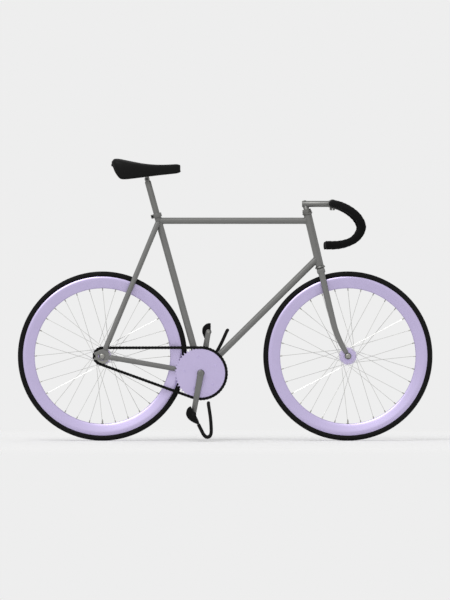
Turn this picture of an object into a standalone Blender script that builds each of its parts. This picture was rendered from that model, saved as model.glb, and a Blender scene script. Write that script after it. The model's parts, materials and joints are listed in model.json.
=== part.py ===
"""Fixed gear track bicycle, modelled as the separate pieces it is built from.

Units are metres. +X is forwards, +Y is the rider's left and +Z is up. The origin is on the
ground, midway between the two axles. The drive side, with the chain, is at -Y.
"""

import math

import bmesh
import bpy
from mathutils import Matrix, Vector

# Clearance between pieces that touch, and between pieces that turn in each other
GAP = 0.0003
RUNNING_GAP = 0.0008

# Drive train
CHAIN_PITCH = 0.0127
RING_TEETH = 50
COG_TEETH = 16
ROLLER_RADIUS = 0.0039
CHAIN_PLATE_HEIGHT = 0.0124
CHAIN_PLATE_THICKNESS = 0.0023
CHAIN_INNER_WIDTH = 0.0034
CHAIN_BACK_THICKNESS = 0.0010
CHAIN_OUTSIDE_SHELL = 0.008
CHAIN_POINTS_ON_RING = 25
CHAIN_POINTS_ON_COG = 10
TOOTH_THICKNESS = 0.0026
TOOTH_TIP_WIDTH = 0.0016
RING_TOOTH_HEIGHT = 0.0034
COG_TOOTH_HEIGHT = 0.0031
ROLLER_SEAT_ARC = math.radians(66)

# Frame layout
GAP_BETWEEN_WHEELS = 0.300
SHELL_AHEAD_OF_TYRE = 0.060
BOTTOM_BRACKET_DROP = 0.0675
SEAT_ANGLE = math.radians(74.5)
HEAD_ANGLE = math.radians(76.7)
FORK_RAKE = 0.026
TOP_TUBE_HEIGHT = 0.8676
HEAD_TUBE_ABOVE_TOP_TUBE = 0.0224
DOWN_TUBE_JOINT_ABOVE_HEAD_TUBE_BOTTOM = 0.031
CROWN_ABOVE_TYRE = 0.0082

# Frame tubes
HEAD_TUBE_DIAMETER = 0.0318
TOP_TUBE_DIAMETER = 0.0254
DOWN_TUBE_DIAMETER = 0.0262
SEAT_TUBE_DIAMETER = 0.0266
TUBE_WALL = 0.0009
SEAT_TUBE_TOP_EXTENSION = 0.030
CHAINSTAY_FRONT_DIAMETER = 0.0215
CHAINSTAY_TYRE_DIAMETER = 0.0198
CHAINSTAY_REAR_DIAMETER = 0.0195
CHAINSTAY_SPREAD_AT_SHELL = 0.0205
CHAINSTAY_SPREAD_AHEAD_OF_TYRE = 0.023
CHAINSTAY_SPREAD_AT_TYRE = 0.0255
CHAINSTAY_SPREAD_BEHIND_TYRE = 0.029
CHAINSTAY_TYRE_STRETCH = 0.053
SEATSTAY_TOP_DIAMETER = 0.0205
SEATSTAY_BOTTOM_DIAMETER = 0.0195
SEATSTAY_SPREAD_AT_TOP = 0.0165
SEATSTAY_SETBACK = 0.012
STAY_WALL = 0.0012
BRIDGE_DIAMETER = 0.011
SEATSTAY_BRIDGE_FROM_TYRE = 0.021
CHAINSTAY_BRIDGE_FROM_TYRE = 0.019

# Bottom bracket
SHELL_DIAMETER = 0.040
SHELL_WIDTH = 0.068
SHELL_BORE_DIAMETER = 0.0348
CARTRIDGE_FLANGE_DIAMETER = 0.038
CARTRIDGE_FLANGE_THICKNESS = 0.0017
SPINDLE_DIAMETER = 0.017
SPINDLE_PAST_SHELL = 0.0195
SPINDLE_SQUARE = 0.0127
SPINDLE_TAPER = 0.0010

# Track ends
REAR_SPACING = 0.120
TRACK_END_THICKNESS = 0.006
TRACK_END_HEIGHT = 0.030
TRACK_SLOT_LENGTH = 0.042
TRACK_SLOT_AHEAD_OF_AXLE = 0.010
TRACK_END_FOOT_AHEAD_OF_AXLE = 0.0105
TRACK_END_TAB = 0.056
TRACK_END_TAB_WIDTH = 0.0095
STAY_START_FROM_AXLE = 0.036

# Axles and nuts
REAR_AXLE_DIAMETER = 0.010
FRONT_AXLE_DIAMETER = 0.009
AXLE_END_PAST_NUT = 0.004
CONE_DIAMETER = 0.017
NUT_ACROSS_CORNERS = 0.0173
NUT_THICKNESS = 0.0095
NUT_CHAMFER = 0.0012

# Wheels
TYRE_ABOVE_RIM = 0.0205
TYRE_WIDTH = 0.024
TYRE_SECTION_DEGREES = (98, 50, 0, -50, -98)
RIM_OUTER_RADIUS = 0.3135
RIM_DEPTH = 0.0465
RIM_WIDTH = 0.023
RIM_BED_DEPTH = 0.0038
RIM_BED_WIDTH = 0.0115
RIM_LIP_INSET = 0.0008
RIM_SHOULDER_DEPTH = 0.012
RIM_INNER_EDGE_WIDTH = 0.007
RIM_WALL = 0.0016
VALVE_HOLE_DIAMETER = 0.007
SPOKES_PER_SIDE = 16
SPOKE_CROSSINGS = 3
SPOKE_DIAMETER = 0.002
SPOKE_REST_FROM_CENTRE = 0.0012
SPOKE_STANDS_OFF = 0.0029
SPOKE_INTERLACE = 0.0005

# Hubs
FLANGE_DIAMETER = 0.067
FLANGE_THICKNESS = 0.003
FLANGE_FILLET = 0.003
SPOKE_HOLE_CIRCLE = 0.058
HUB_BARREL_DIAMETER = 0.028
HUB_BORE_DIAMETER = 0.015
REAR_FLANGE_SPREAD = 0.031
FRONT_FLANGE_SPREAD = 0.034
HUB_BOSS_DIAMETER = 0.034
HUB_BOSS_LENGTH = 0.0045
COG_THICKNESS = 0.0028
LOCKRING_DIAMETER = 0.040
LOCKRING_THICKNESS = 0.0037
LOCKRING_CHAMFER = 0.0010
REAR_HUB_PAST_CHAIN_LINE = 0.0068

# Cranks
CRANK_LENGTH = 0.165
CRANK_ANGLE_FROM_VERTICAL = math.radians(10.3)
CRANK_OUTSIDE_SHELL = 0.020
CRANK_THICKNESS = 0.013
CRANK_WIDTH_AT_SPINDLE = 0.0255
CRANK_WIDTH_AT_PEDAL = 0.0205
CRANK_BOSS_DIAMETER = 0.0275
CRANK_BOSS_DEPTH_IN_ARM = 0.008
CRANK_EDGE_RADIUS = 0.002
SPIDER_ARMS = 5
SPIDER_THICKNESS = 0.004
SPIDER_BOLT_RADIUS = 0.065
SPIDER_TAB_RADIUS = 0.008
SPIDER_HUB_RADIUS = 0.024

# Pedals
PEDAL_SPINDLE_DIAMETER = 0.012
PEDAL_SPINDLE_FLANGE_DIAMETER = 0.018
PEDAL_SPINDLE_FLANGE_THICKNESS = 0.005
PEDAL_BARREL_DIAMETER = 0.024
PEDAL_WIDTH = 0.088
PEDAL_PLATE_THICKNESS = 0.005
PEDAL_BEHIND_AXLE = 0.036
PEDAL_AHEAD_OF_AXLE = 0.042
PEDAL_ABOVE_AXLE = 0.008
PEDAL_BELOW_AXLE = 0.025
PEDAL_CAGE_BAR = 0.008
PEDAL_BAR_INSET = 0.0006
PEDAL_PLATE_CORNERS = ((0.95, 0.1), (0.55, 0.64), (0.1, 1.0), (-0.45, 1.0), (-0.9, 0.45))
RIGHT_TOE_DOWN = math.radians(62.5)
LEFT_TOE_DOWN = math.radians(95.5)
TOE_CLIP_ROD_DIAMETER = 0.0134
TOE_CLIP_REACH = 0.1115
TOE_CLIP_TOP_HEIGHT = 0.0815
TOE_CLIP_END_BEHIND_AXLE = 0.014
TOE_CLIP_HALF_WIDTH = 0.0285
TOE_CLIP_TOP_HALF_WIDTH = 0.012
TOE_CLIP_FOOT_HEIGHT = 0.0005
TOE_CLIP_SHAPE = (
    (0.636, 0.005, 1.03), (0.828, 0.005, 1.03), (0.954, 0.067, 1.01), (1.0, 0.20, 0.99),
    (0.949, 0.348, 0.97), (0.809, 0.475, 0.93), (0.482, 0.682, 0.80), (0.197, 0.829, 0.66),
)

# Headset and fork
STEERER_DIAMETER = 0.0254
STEERER_WALL = 0.0013
CUP_DIAMETER = 0.040
CUP_HEIGHT = 0.010
CUP_SKIRT_LENGTH = 0.008
HEAD_TUBE_BORE_DIAMETER = 0.0302
LOCKNUT_HEIGHT = 0.013
LOCKNUT_DIAMETER = 0.037
LOCKNUT_TOP_DIAMETER = 0.0326
LOCKNUT_STEP_HEIGHT = 0.0065
LOCKNUT_STEP_SLOPE = 0.0007
CROWN_HEIGHT = 0.018
CROWN_RACE_HEIGHT = 0.003
CROWN_DEPTH = 0.032
CROWN_EDGE_RADIUS = 0.004
FORK_BLADE_SPREAD_AT_CROWN = 0.029
FORK_BLADE_TOP_DIAMETER = 0.025
FORK_BLADE_BOTTOM_DIAMETER = 0.019
FORK_BEND_ABOVE_AXLE = 0.161
FORK_CURVE = ((0.62, 0.08), (0.32, 0.40))
FRONT_SPACING = 0.100
FORK_END_THICKNESS = 0.0055
FORK_END_WIDTH = 0.024
FORK_END_TAB = 0.030
FORK_END_TAB_WIDTH = 0.010

# Stem and handlebar
STEM_ABOVE_HEAD_TUBE = 0.044
STEM_EXTENSION = 0.1076
STEM_DIAMETER = 0.0245
QUILL_DIAMETER = 0.0222
QUILL_INSERTION = 0.120
STEM_CLAMP_DIAMETER = 0.036
STEM_CLAMP_WIDTH = 0.038
STEM_SLOT_WIDTH = 0.0018
BAR_CLAMP_DIAMETER = 0.0254
BAR_DIAMETER = 0.0238
BAR_WALL = 0.0020
BAR_BULGE_HALF_LENGTH = 0.0304
BAR_BULGE_TAPER = 0.0046
BAR_HALF_WIDTH = 0.205
BAR_REACH = 0.113
BAR_DROP = 0.163
TAPE_THICKNESS = 0.0038
TAPE_START = 0.056
BAR_PLUG_THICKNESS = 0.004
BAR_SHAPE = (
    (0.08, 0.013, 0.43), (0.28, 0.055, 0.63), (0.58, 0.163, 0.82), (0.85, 0.327, 0.94),
    (1.0, 0.537, 0.99), (0.94, 0.712, 1.0), (0.758, 0.858, 1.0), (0.489, 0.950, 1.0),
    (0.158, 0.996, 1.0), (-0.25, 1.0, 1.0),
)

# Seatpost and saddle
SEATPOST_DIAMETER = 0.0244
SEATPOST_BORE_DIAMETER = 0.0200
SEATPOST_SOLID_BELOW_PIVOT = 0.030
SEATPOST_INSERTION = 0.100
SADDLE_PIVOT_FROM_CLUSTER = 0.170
SEATPOST_TOP_BELOW_PIVOT = 0.006
SEATPOST_HEAD_DIAMETER = 0.020
SEATPOST_HEAD_WIDTH = 0.028
SADDLE_BOLT_DIAMETER = 0.006
SEAT_CLAMP_HEIGHT = 0.016
SEAT_CLAMP_THICKNESS = 0.0045
SEAT_CLAMP_EAR = 0.011
SEAT_CLAMP_EAR_HEIGHT = 0.0144
SEAT_CLAMP_SPLIT = 0.0015
RAIL_DIAMETER = 0.007
RAIL_SPREAD = 0.022
RAIL_ABOVE_PIVOT = 0.019
SADDLE_CLAMP_LENGTH = 0.032
SADDLE_CLAMP_HEIGHT = 0.015
SADDLE_CLAMP_EDGE_RADIUS = 0.0018
SADDLE_EAR_PIVOT_RADIUS = 0.008
SADDLE_EAR_TOP_RADIUS = 0.0076
SADDLE_LENGTH = 0.268
SADDLE_WIDTH = 0.146
SADDLE_NOSE_WIDTH = 0.036
SADDLE_HEIGHT = 0.062
SADDLE_PAD_THICKNESS = 0.012
SADDLE_SKIRT_THICKNESS = 0.005
SADDLE_CLAMP_FROM_REAR = 0.1375
SADDLE_EAR_THICKNESS = 0.005
# Each as its share of the saddle's length, of the rails' spread and of the saddle's height
RAIL_ROUTE = (
    (0.1, 1.95, 0.839), (0.17, 1.75, 0.581), (0.27, 1.35, 0.194), (0.36, 1.02, 0.0),
    (0.4, 1.0, 0.0), (0.52, 1.0, 0.0), (0.64, 1.0, 0.0), (0.7, 0.85, 0.024),
    (0.79, 0.58, 0.161), (0.87, 0.38, 0.355),
)
RAIL_NOSE_SHARE = 0.90
RAIL_NOSE_HEIGHT = 0.027
# Each as its share of the length, its width from the nose's, 0, to the full width, 1, and then
# the heights of its top and of its lower edge above the clamped rails, as shares of the height
SADDLE_STATIONS = (
    (0.0, 0.5, 0.839, 0.548), (0.018, 0.68, 0.952, 0.452), (0.05, 0.85, 1, 0.129),
    (0.108, 0.97, 0.992, -0.21), (0.175, 1.0, 0.935, -0.274), (0.3, 0.93, 0.823, -0.226),
    (0.43, 0.68, 0.718, -0.161), (0.55, 0.46, 0.653, -0.097), (0.68, 0.28, 0.621, -0.032),
    (0.82, 0.1, 0.629, 0.032), (0.93, 0.02, 0.653, 0.081), (0.975, -0.04, 0.637, 0.145),
    (1.0, -0.16, 0.532, 0.274),
)
# Each as a share of the half width and of the height, from the lower edge to the top
SADDLE_OUTSIDE = ((0.90, 0.0), (1.0, 0.40), (0.93, 0.80), (0.62, 0.965))
SADDLE_INSIDE = ((0.90, 0.0), (1.0, 0.45), (0.84, 0.92))

# Sizes that follow from the ones above
TYRE_RADIUS = RIM_OUTER_RADIUS + TYRE_ABOVE_RIM
WHEELBASE = 2 * TYRE_RADIUS + GAP_BETWEEN_WHEELS
NOMINAL_CHAINSTAY_LENGTH = TYRE_RADIUS + SHELL_AHEAD_OF_TYRE
HEAD_TUBE_TOP_HEIGHT = TOP_TUBE_HEIGHT + HEAD_TUBE_ABOVE_TOP_TUBE
STEM_HEIGHT = HEAD_TUBE_TOP_HEIGHT + STEM_ABOVE_HEAD_TUBE
SPINDLE_LENGTH = SHELL_WIDTH + 2 * SPINDLE_PAST_SHELL
CRANK_INNER_FACE = SHELL_WIDTH / 2 + CRANK_OUTSIDE_SHELL
CHAIN_LINE = SHELL_WIDTH / 2 + CHAIN_OUTSIDE_SHELL
REAR_HUB_RIGHT_END = CHAIN_LINE + REAR_HUB_PAST_CHAIN_LINE

# Mesh fineness, as numbers of sides round a piece
WHEEL_SIDES = 48
TUBE_SIDES = 16
FITTING_SIDES = 16
STAY_SIDES = 12
ROD_SIDES = 12
BAR_SIDES = 8
BORE_SIDES = 8
SHELL_SIDES = 32
NUT_SIDES = 6
SPOKE_SIDES = 3
HALF_ROUND_POINTS = 8
PATH_STEPS = 2
BEVEL_ANGLE = math.radians(50)
SHARP_ANGLE = math.radians(35)
BISECTION_STEPS = 60
# How far cutters run past what they cut
OVERRUN = 0.010

# Colours, each as red, green and blue, then metallic and roughness
FINISHES = {
    "frame_paint": ((0.17, 0.17, 0.17), 0.1, 0.35),
    "lavender_anodised": ((0.51, 0.44, 0.68), 0.5, 0.35),
    "black_rubber": ((0.012, 0.012, 0.012), 0.0, 0.8),
    "black_leather": ((0.012, 0.012, 0.012), 0.0, 0.55),
    "black_tape": ((0.014, 0.014, 0.014), 0.0, 0.7),
    "black_steel": ((0.02, 0.02, 0.02), 0.8, 0.4),
    "black_resin": ((0.015, 0.015, 0.015), 0.0, 0.5),
    "grey_alloy": ((0.2, 0.2, 0.2), 0.9, 0.35),
    "bright_steel": ((0.55, 0.55, 0.55), 1.0, 0.25),
}

ACROSS = Vector((0.0, 1.0, 0.0))
MERGE_DISTANCE = 0.00001


def clear_scene():
    """Remove every object, so that the script can be run again."""
    for old in list(bpy.data.objects):
        bpy.data.objects.remove(old)


def new_collection(name):
    """Return a new collection linked to the scene."""
    collection = bpy.data.collections.new(name)
    bpy.context.scene.collection.children.link(collection)
    return collection


clear_scene()
PIECES = new_collection("fixed_gear_bicycle")
CUTTERS = new_collection("cutters")


def at(x, z, y=0.0):
    """Return the point at x forwards, z up and y to the left."""
    return Vector((x, y, z))


def finish_of(piece, finish):
    """Give a piece a material of its own in the named finish."""
    colour, metallic, roughness = FINISHES[finish]
    material = bpy.data.materials.new(piece.name + "_" + finish)
    material.use_nodes = True
    shader = material.node_tree.nodes["Principled BSDF"]
    shader.inputs["Base Color"].default_value = (*colour, 1.0)
    shader.inputs["Metallic"].default_value = metallic
    shader.inputs["Roughness"].default_value = roughness
    piece.data.materials.clear()
    piece.data.materials.append(material)


def place(piece, finish):
    """Link a piece, or a cutter when it has no finish, to its collection."""
    if finish:
        PIECES.objects.link(piece)
        finish_of(piece, finish)
        return piece
    CUTTERS.objects.link(piece)
    piece.hide_render = True
    piece.display_type = "WIRE"
    return piece


def from_bmesh(name, shape, finish, matrix=None):
    """Return a new object made from a bmesh."""
    mesh = bpy.data.meshes.new(name)
    shape.to_mesh(mesh)
    shape.free()
    piece = bpy.data.objects.new(name, mesh)
    if matrix:
        piece.matrix_world = matrix
    return place(piece, finish)


def from_curve(name, curve, finish, matrix=None):
    """Return a welded mesh object made from a curve."""
    guide = bpy.data.objects.new(name + "_curve", curve)
    CUTTERS.objects.link(guide)
    if matrix:
        guide.matrix_world = matrix
    bpy.context.view_layer.update()
    evaluated = guide.evaluated_get(bpy.context.evaluated_depsgraph_get())
    mesh = bpy.data.meshes.new_from_object(evaluated)
    mesh.name = name
    piece = bpy.data.objects.new(name, mesh)
    piece.matrix_world = guide.matrix_world
    bpy.data.objects.remove(guide)
    shape = bmesh.new()
    shape.from_mesh(mesh)
    bmesh.ops.remove_doubles(shape, verts=shape.verts, dist=MERGE_DISTANCE)
    shape.to_mesh(mesh)
    shape.free()
    return place(piece, finish)


def toward(start, direction):
    """Return the matrix that puts local Z along a direction, with its origin at start."""
    turn = Vector((0.0, 0.0, 1.0)).rotation_difference(direction)
    return Matrix.Translation(start) @ turn.to_matrix().to_4x4()


def rod(name, start, end, radius, finish=None, sides=TUBE_SIDES, end_radius=None):
    """Return a straight rod, tapered when the end radius differs."""
    shape = bmesh.new()
    length = (end - start).length
    bmesh.ops.create_cone(
        shape, cap_ends=True, segments=sides, depth=length,
        radius1=radius, radius2=radius if end_radius is None else end_radius,
    )
    matrix = toward((start + end) / 2, end - start)
    return from_bmesh(name, shape, finish, matrix)


def box(name, centre, size, finish=None, turn=None):
    """Return a box with its scale in its mesh."""
    shape = bmesh.new()
    bmesh.ops.create_cube(shape, size=1.0)
    bmesh.ops.scale(shape, vec=size, verts=shape.verts)
    matrix = Matrix.Translation(centre)
    if turn:
        matrix = matrix @ turn
    return from_bmesh(name, shape, finish, matrix)


def turned(name, profile, start, direction, finish=None, sides=FITTING_SIDES, closed=True):
    """Return a turned shape, from radius and height pairs that run down the outer side."""
    mesh = bpy.data.meshes.new(name)
    edges = [(i, i + 1) for i in range(len(profile) - 1)]
    if closed:
        edges.append((len(profile) - 1, 0))
    mesh.from_pydata([(radius, 0.0, height) for radius, height in profile], edges, [])
    piece = bpy.data.objects.new(name, mesh)
    piece.matrix_world = toward(start, direction)
    screw = piece.modifiers.new("turn", "SCREW")
    screw.axis = "Z"
    screw.steps = sides
    screw.render_steps = sides
    screw.use_merge_vertices = True
    screw.merge_threshold = MERGE_DISTANCE
    return place(piece, finish)


def wire(name, points, radii, finish=None, sides=ROD_SIDES):
    """Return a round tube along a list of points, with a radius for each."""
    curve = bpy.data.curves.new(name, "CURVE")
    curve.dimensions = "3D"
    curve.bevel_depth = radii[0]
    curve.bevel_resolution = (sides - 4) // 2
    curve.use_fill_caps = True
    spline = curve.splines.new("POLY")
    spline.points.add(len(points) - 1)
    for knot, point, radius in zip(spline.points, points, radii):
        knot.co = (*point, 1.0)
        knot.radius = radius / radii[0]
    return from_curve(name, curve, finish)


def flat(name, outlines, thickness, y, finish=None):
    """Return a flat plate, square to Y, from outlines of x and z pairs; inner outlines are holes."""
    curve = bpy.data.curves.new(name, "CURVE")
    curve.dimensions = "2D"
    curve.fill_mode = "BOTH"
    curve.extrude = thickness / 2
    for outline in outlines:
        spline = curve.splines.new("POLY")
        spline.points.add(len(outline) - 1)
        for knot, (x, z) in zip(spline.points, outline):
            knot.co = (x, z, 0.0, 1.0)
        spline.use_cyclic_u = True
    matrix = Matrix.Translation((0.0, y, 0.0)) @ Matrix.Rotation(math.pi / 2, 4, "X")
    return from_curve(name, curve, finish, matrix)


def combine(piece, others, operation):
    """Add one EXACT Boolean modifier for each other object."""
    for other in others:
        modifier = piece.modifiers.new(operation.lower(), "BOOLEAN")
        modifier.solver = "EXACT"
        modifier.operation = operation
        modifier.object = other
    return piece


def cut(piece, *cutters):
    """Cut the cutters out of a piece."""
    return combine(piece, cutters, "DIFFERENCE")


def add(piece, *additions):
    """Join the additions to a piece."""
    return combine(piece, additions, "UNION")


def rounded(piece, width):
    """Round a piece's edges."""
    bevel = piece.modifiers.new("edges", "BEVEL")
    bevel.width = width
    bevel.segments = 1
    bevel.limit_method = "ANGLE"
    bevel.angle_limit = BEVEL_ANGLE
    return piece


def smooth_path(knots):
    """Return points on a smooth curve through the knots."""
    points = []
    ends = [2 * knots[0] - knots[1]] + list(knots) + [2 * knots[-1] - knots[-2]]
    for before, first, second, after in zip(ends, ends[1:], ends[2:], ends[3:]):
        for step in range(PATH_STEPS):
            t = step / PATH_STEPS
            points.append(0.5 * (
                2 * first + (second - before) * t
                + (2 * before - 5 * first + 4 * second - after) * t ** 2
                + (3 * first - before - 3 * second + after) * t ** 3
            ))
    return points + [knots[-1].copy()]


def spread_radii(start, end, count):
    """Return count radii that change evenly from start to end."""
    return [start + (end - start) * i / (count - 1) for i in range(count)]


def arc(centre, radius, start, end, count):
    """Return x and z pairs on an arc, with both ends."""
    angles = [start + (end - start) * i / (count - 1) for i in range(count)]
    return [(centre[0] + radius * math.cos(a), centre[1] + radius * math.sin(a)) for a in angles]


# Drive train geometry: the rear axle lies where the chain is just taut


def pitch_radius(teeth):
    """Return the radius of the circle that the rollers lie on."""
    return CHAIN_PITCH / (2 * math.sin(math.pi / teeth))


RING_RADIUS = pitch_radius(RING_TEETH)
COG_RADIUS = pitch_radius(COG_TEETH)


def links_for(distance):
    """Return the length of the closed chain, in links, for a distance between centres."""
    lean = math.asin((RING_RADIUS - COG_RADIUS) / distance)
    straight = 2 * distance * math.cos(lean) / CHAIN_PITCH
    on_ring = RING_TEETH * (0.5 + lean / math.pi)
    on_cog = COG_TEETH * (0.5 - lean / math.pi)
    return straight + on_ring + on_cog


CHAIN_LINKS = 2 * round(links_for(NOMINAL_CHAINSTAY_LENGTH) / 2)


def taut_distance():
    """Return the distance between centres at which the chain closes, found by bisection."""
    near = NOMINAL_CHAINSTAY_LENGTH - 2 * CHAIN_PITCH
    far = NOMINAL_CHAINSTAY_LENGTH + 2 * CHAIN_PITCH
    for _ in range(BISECTION_STEPS):
        middle = (near + far) / 2
        if links_for(middle) < CHAIN_LINKS:
            near = middle
        else:
            far = middle
    return (near + far) / 2


# Points and directions in the side view
CHAINSTAY_LENGTH = taut_distance()
REAR_AXLE = at(-WHEELBASE / 2, TYRE_RADIUS)
FRONT_AXLE = at(WHEELBASE / 2, TYRE_RADIUS)
BRACKET = REAR_AXLE + at(
    math.sqrt(CHAINSTAY_LENGTH ** 2 - BOTTOM_BRACKET_DROP ** 2), -BOTTOM_BRACKET_DROP)
SEAT_UP = at(-math.cos(SEAT_ANGLE), math.sin(SEAT_ANGLE))
STEER_UP = at(-math.cos(HEAD_ANGLE), math.sin(HEAD_ANGLE))
STEER_FORWARD = at(math.sin(HEAD_ANGLE), math.cos(HEAD_ANGLE))
STEER_FOOT = FRONT_AXLE - FORK_RAKE * STEER_FORWARD


def on_seat_tube(height):
    """Return the point of the seat tube's axis at a height above the ground."""
    return BRACKET + SEAT_UP * ((height - BRACKET.z) / SEAT_UP.z)


def on_steering_axis(height):
    """Return the point of the steering axis at a height above the ground."""
    return STEER_FOOT + STEER_UP * ((height - STEER_FOOT.z) / STEER_UP.z)


CLUSTER = on_seat_tube(TOP_TUBE_HEIGHT)
SEAT_TUBE_TOP = CLUSTER + SEAT_UP * SEAT_TUBE_TOP_EXTENSION
HEAD_TOP = on_steering_axis(HEAD_TUBE_TOP_HEIGHT)
CROWN_BOTTOM = STEER_FOOT + STEER_UP * math.sqrt(
    (TYRE_RADIUS + CROWN_ABOVE_TYRE) ** 2 - FORK_RAKE ** 2)
CROWN_TOP = CROWN_BOTTOM + STEER_UP * CROWN_HEIGHT
HEAD_BOTTOM = CROWN_TOP + STEER_UP * (CROWN_RACE_HEIGHT + GAP + CUP_HEIGHT)
DOWN_TUBE_JOINT = on_steering_axis(HEAD_BOTTOM.z + DOWN_TUBE_JOINT_ABOVE_HEAD_TUBE_BOTTOM)
TOP_TUBE_JOINT = on_steering_axis(TOP_TUBE_HEIGHT)


# Frame


def seat_tube_outside(name, growth, finish=None):
    """Return the seat tube's outer shape, from the bracket's centre to its top."""
    return rod(name, BRACKET, SEAT_TUBE_TOP, SEAT_TUBE_DIAMETER / 2 + growth, finish)


def head_tube_outside(name, growth):
    """Return the head tube's outer shape."""
    return rod(name, HEAD_BOTTOM, HEAD_TOP, HEAD_TUBE_DIAMETER / 2 + growth)


def shell_outside(name, growth):
    """Return the bottom bracket shell's outer shape."""
    half = ACROSS * (SHELL_WIDTH / 2 + growth)
    return rod(name, BRACKET - half, BRACKET + half, SHELL_DIAMETER / 2 + growth, sides=SHELL_SIDES)


def make_main_tubes():
    """Make the head, seat, top and down tubes, mitred to each other, and the bracket shell."""
    seat_clearance = seat_tube_outside("seat_tube_clearance", GAP)
    head_clearance = head_tube_outside("head_tube_clearance", GAP)
    shell_clearance = shell_outside("shell_clearance", GAP)

    half_shell = SHELL_WIDTH / 2
    turned(
        "bottom_bracket_shell",
        [(SHELL_DIAMETER / 2, half_shell), (SHELL_DIAMETER / 2, -half_shell),
         (SHELL_BORE_DIAMETER / 2, -half_shell), (SHELL_BORE_DIAMETER / 2, half_shell)],
        BRACKET, ACROSS, "frame_paint", SHELL_SIDES)

    bore = SEATPOST_DIAMETER / 2 + GAP
    seat_tube = seat_tube_outside("seat_tube", 0.0, "frame_paint")
    past_ends = SEAT_UP * SHELL_DIAMETER
    seat_bore = rod("seat_tube_bore", BRACKET - past_ends, SEAT_TUBE_TOP + past_ends, bore)
    cut(seat_tube, seat_bore, shell_clearance)

    head_length = (HEAD_TOP - HEAD_BOTTOM).length
    head_radius = HEAD_TUBE_DIAMETER / 2
    turned(
        "head_tube",
        [(head_radius, head_length), (head_radius, 0.0),
         (HEAD_TUBE_BORE_DIAMETER / 2, 0.0), (HEAD_TUBE_BORE_DIAMETER / 2, head_length)],
        HEAD_BOTTOM, STEER_UP, "frame_paint")

    for name, start, end, diameter, ends in (
        ("top_tube", CLUSTER, TOP_TUBE_JOINT, TOP_TUBE_DIAMETER, (seat_clearance, head_clearance)),
        ("down_tube", BRACKET, DOWN_TUBE_JOINT, DOWN_TUBE_DIAMETER,
         (shell_clearance, seat_clearance, head_clearance)),
    ):
        tube = rod(name, start, end, diameter / 2, "frame_paint")
        inside = rod(name + "_bore", start, end, diameter / 2 - TUBE_WALL)
        cut(tube, *ends, inside)
    return seat_clearance, shell_clearance


TRACK_END_MIDDLE = REAR_SPACING / 2 + TRACK_END_THICKNESS / 2
CHAINSTAY_DIRECTION = (BRACKET - REAR_AXLE).normalized()
SEATSTAY_DIRECTION = (CLUSTER - REAR_AXLE).normalized()


def chainstay_knots(side):
    """Return the knots of a chainstay's middle line, from the shell to the track end."""
    def along(distance, y):
        return REAR_AXLE + CHAINSTAY_DIRECTION * distance + ACROSS * side * y
    return [
        along(CHAINSTAY_LENGTH, CHAINSTAY_SPREAD_AT_SHELL),
        along((CHAINSTAY_LENGTH + TYRE_RADIUS) / 2, CHAINSTAY_SPREAD_AHEAD_OF_TYRE),
        along(TYRE_RADIUS - TYRE_WIDTH / 2, CHAINSTAY_SPREAD_AT_TYRE),
        along(TYRE_RADIUS - CHAINSTAY_TYRE_STRETCH, CHAINSTAY_SPREAD_BEHIND_TYRE),
        along(TYRE_RADIUS / 2, (CHAINSTAY_SPREAD_AT_TYRE + TRACK_END_MIDDLE) / 2),
        along(STAY_START_FROM_AXLE, TRACK_END_MIDDLE),
    ]


def seatstay_line(side):
    """Return the two ends of a seatstay's middle line, from the seat tube to the track end."""
    top = CLUSTER - SEATSTAY_DIRECTION * SEATSTAY_SETBACK + ACROSS * side * SEATSTAY_SPREAD_AT_TOP
    foot = REAR_AXLE + SEATSTAY_DIRECTION * STAY_START_FROM_AXLE + ACROSS * side * TRACK_END_MIDDLE
    return top, foot


def track_end_outline(growth):
    """Return a track end's outline in the side view, with its slot open to the rear."""
    x, z = REAR_AXLE.x, REAR_AXLE.z
    half = TRACK_END_HEIGHT / 2 + growth
    tab = TRACK_END_TAB_WIDTH / 2 + growth
    reach = TRACK_END_TAB + growth
    slot = REAR_AXLE_DIAMETER / 2 + GAP
    slot_front = x + TRACK_SLOT_AHEAD_OF_AXLE
    back = slot_front - TRACK_SLOT_LENGTH
    to_seat = SEATSTAY_DIRECTION
    to_shell = CHAINSTAY_DIRECTION
    seat_end = REAR_AXLE + to_seat * reach
    shell_end = REAR_AXLE + to_shell * reach

    def beside(point, direction, offset):
        return (point.x - direction.z * offset, point.z + direction.x * offset)

    outline = [
        (back, z - half), (x + TRACK_END_FOOT_AHEAD_OF_AXLE, z - half),
        beside(shell_end - to_shell * (reach - TRACK_END_HEIGHT), to_shell, -tab),
        beside(shell_end, to_shell, -tab),
        beside(shell_end, to_shell, tab),
        beside(shell_end - to_shell * (reach - TRACK_END_HEIGHT), to_shell, tab),
        beside(seat_end - to_seat * (reach - TRACK_END_HEIGHT), to_seat, -tab),
        beside(seat_end, to_seat, -tab),
        beside(seat_end, to_seat, tab),
        beside(seat_end - to_seat * (reach - TRACK_END_HEIGHT), to_seat, tab),
        (back, z + half),
    ]
    if growth:
        return outline
    slot_end = arc((slot_front - slot, z), slot, math.pi / 2, -math.pi / 2, HALF_ROUND_POINTS)
    return outline + [(back, z + slot)] + slot_end + [(back, z - slot)]


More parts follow.
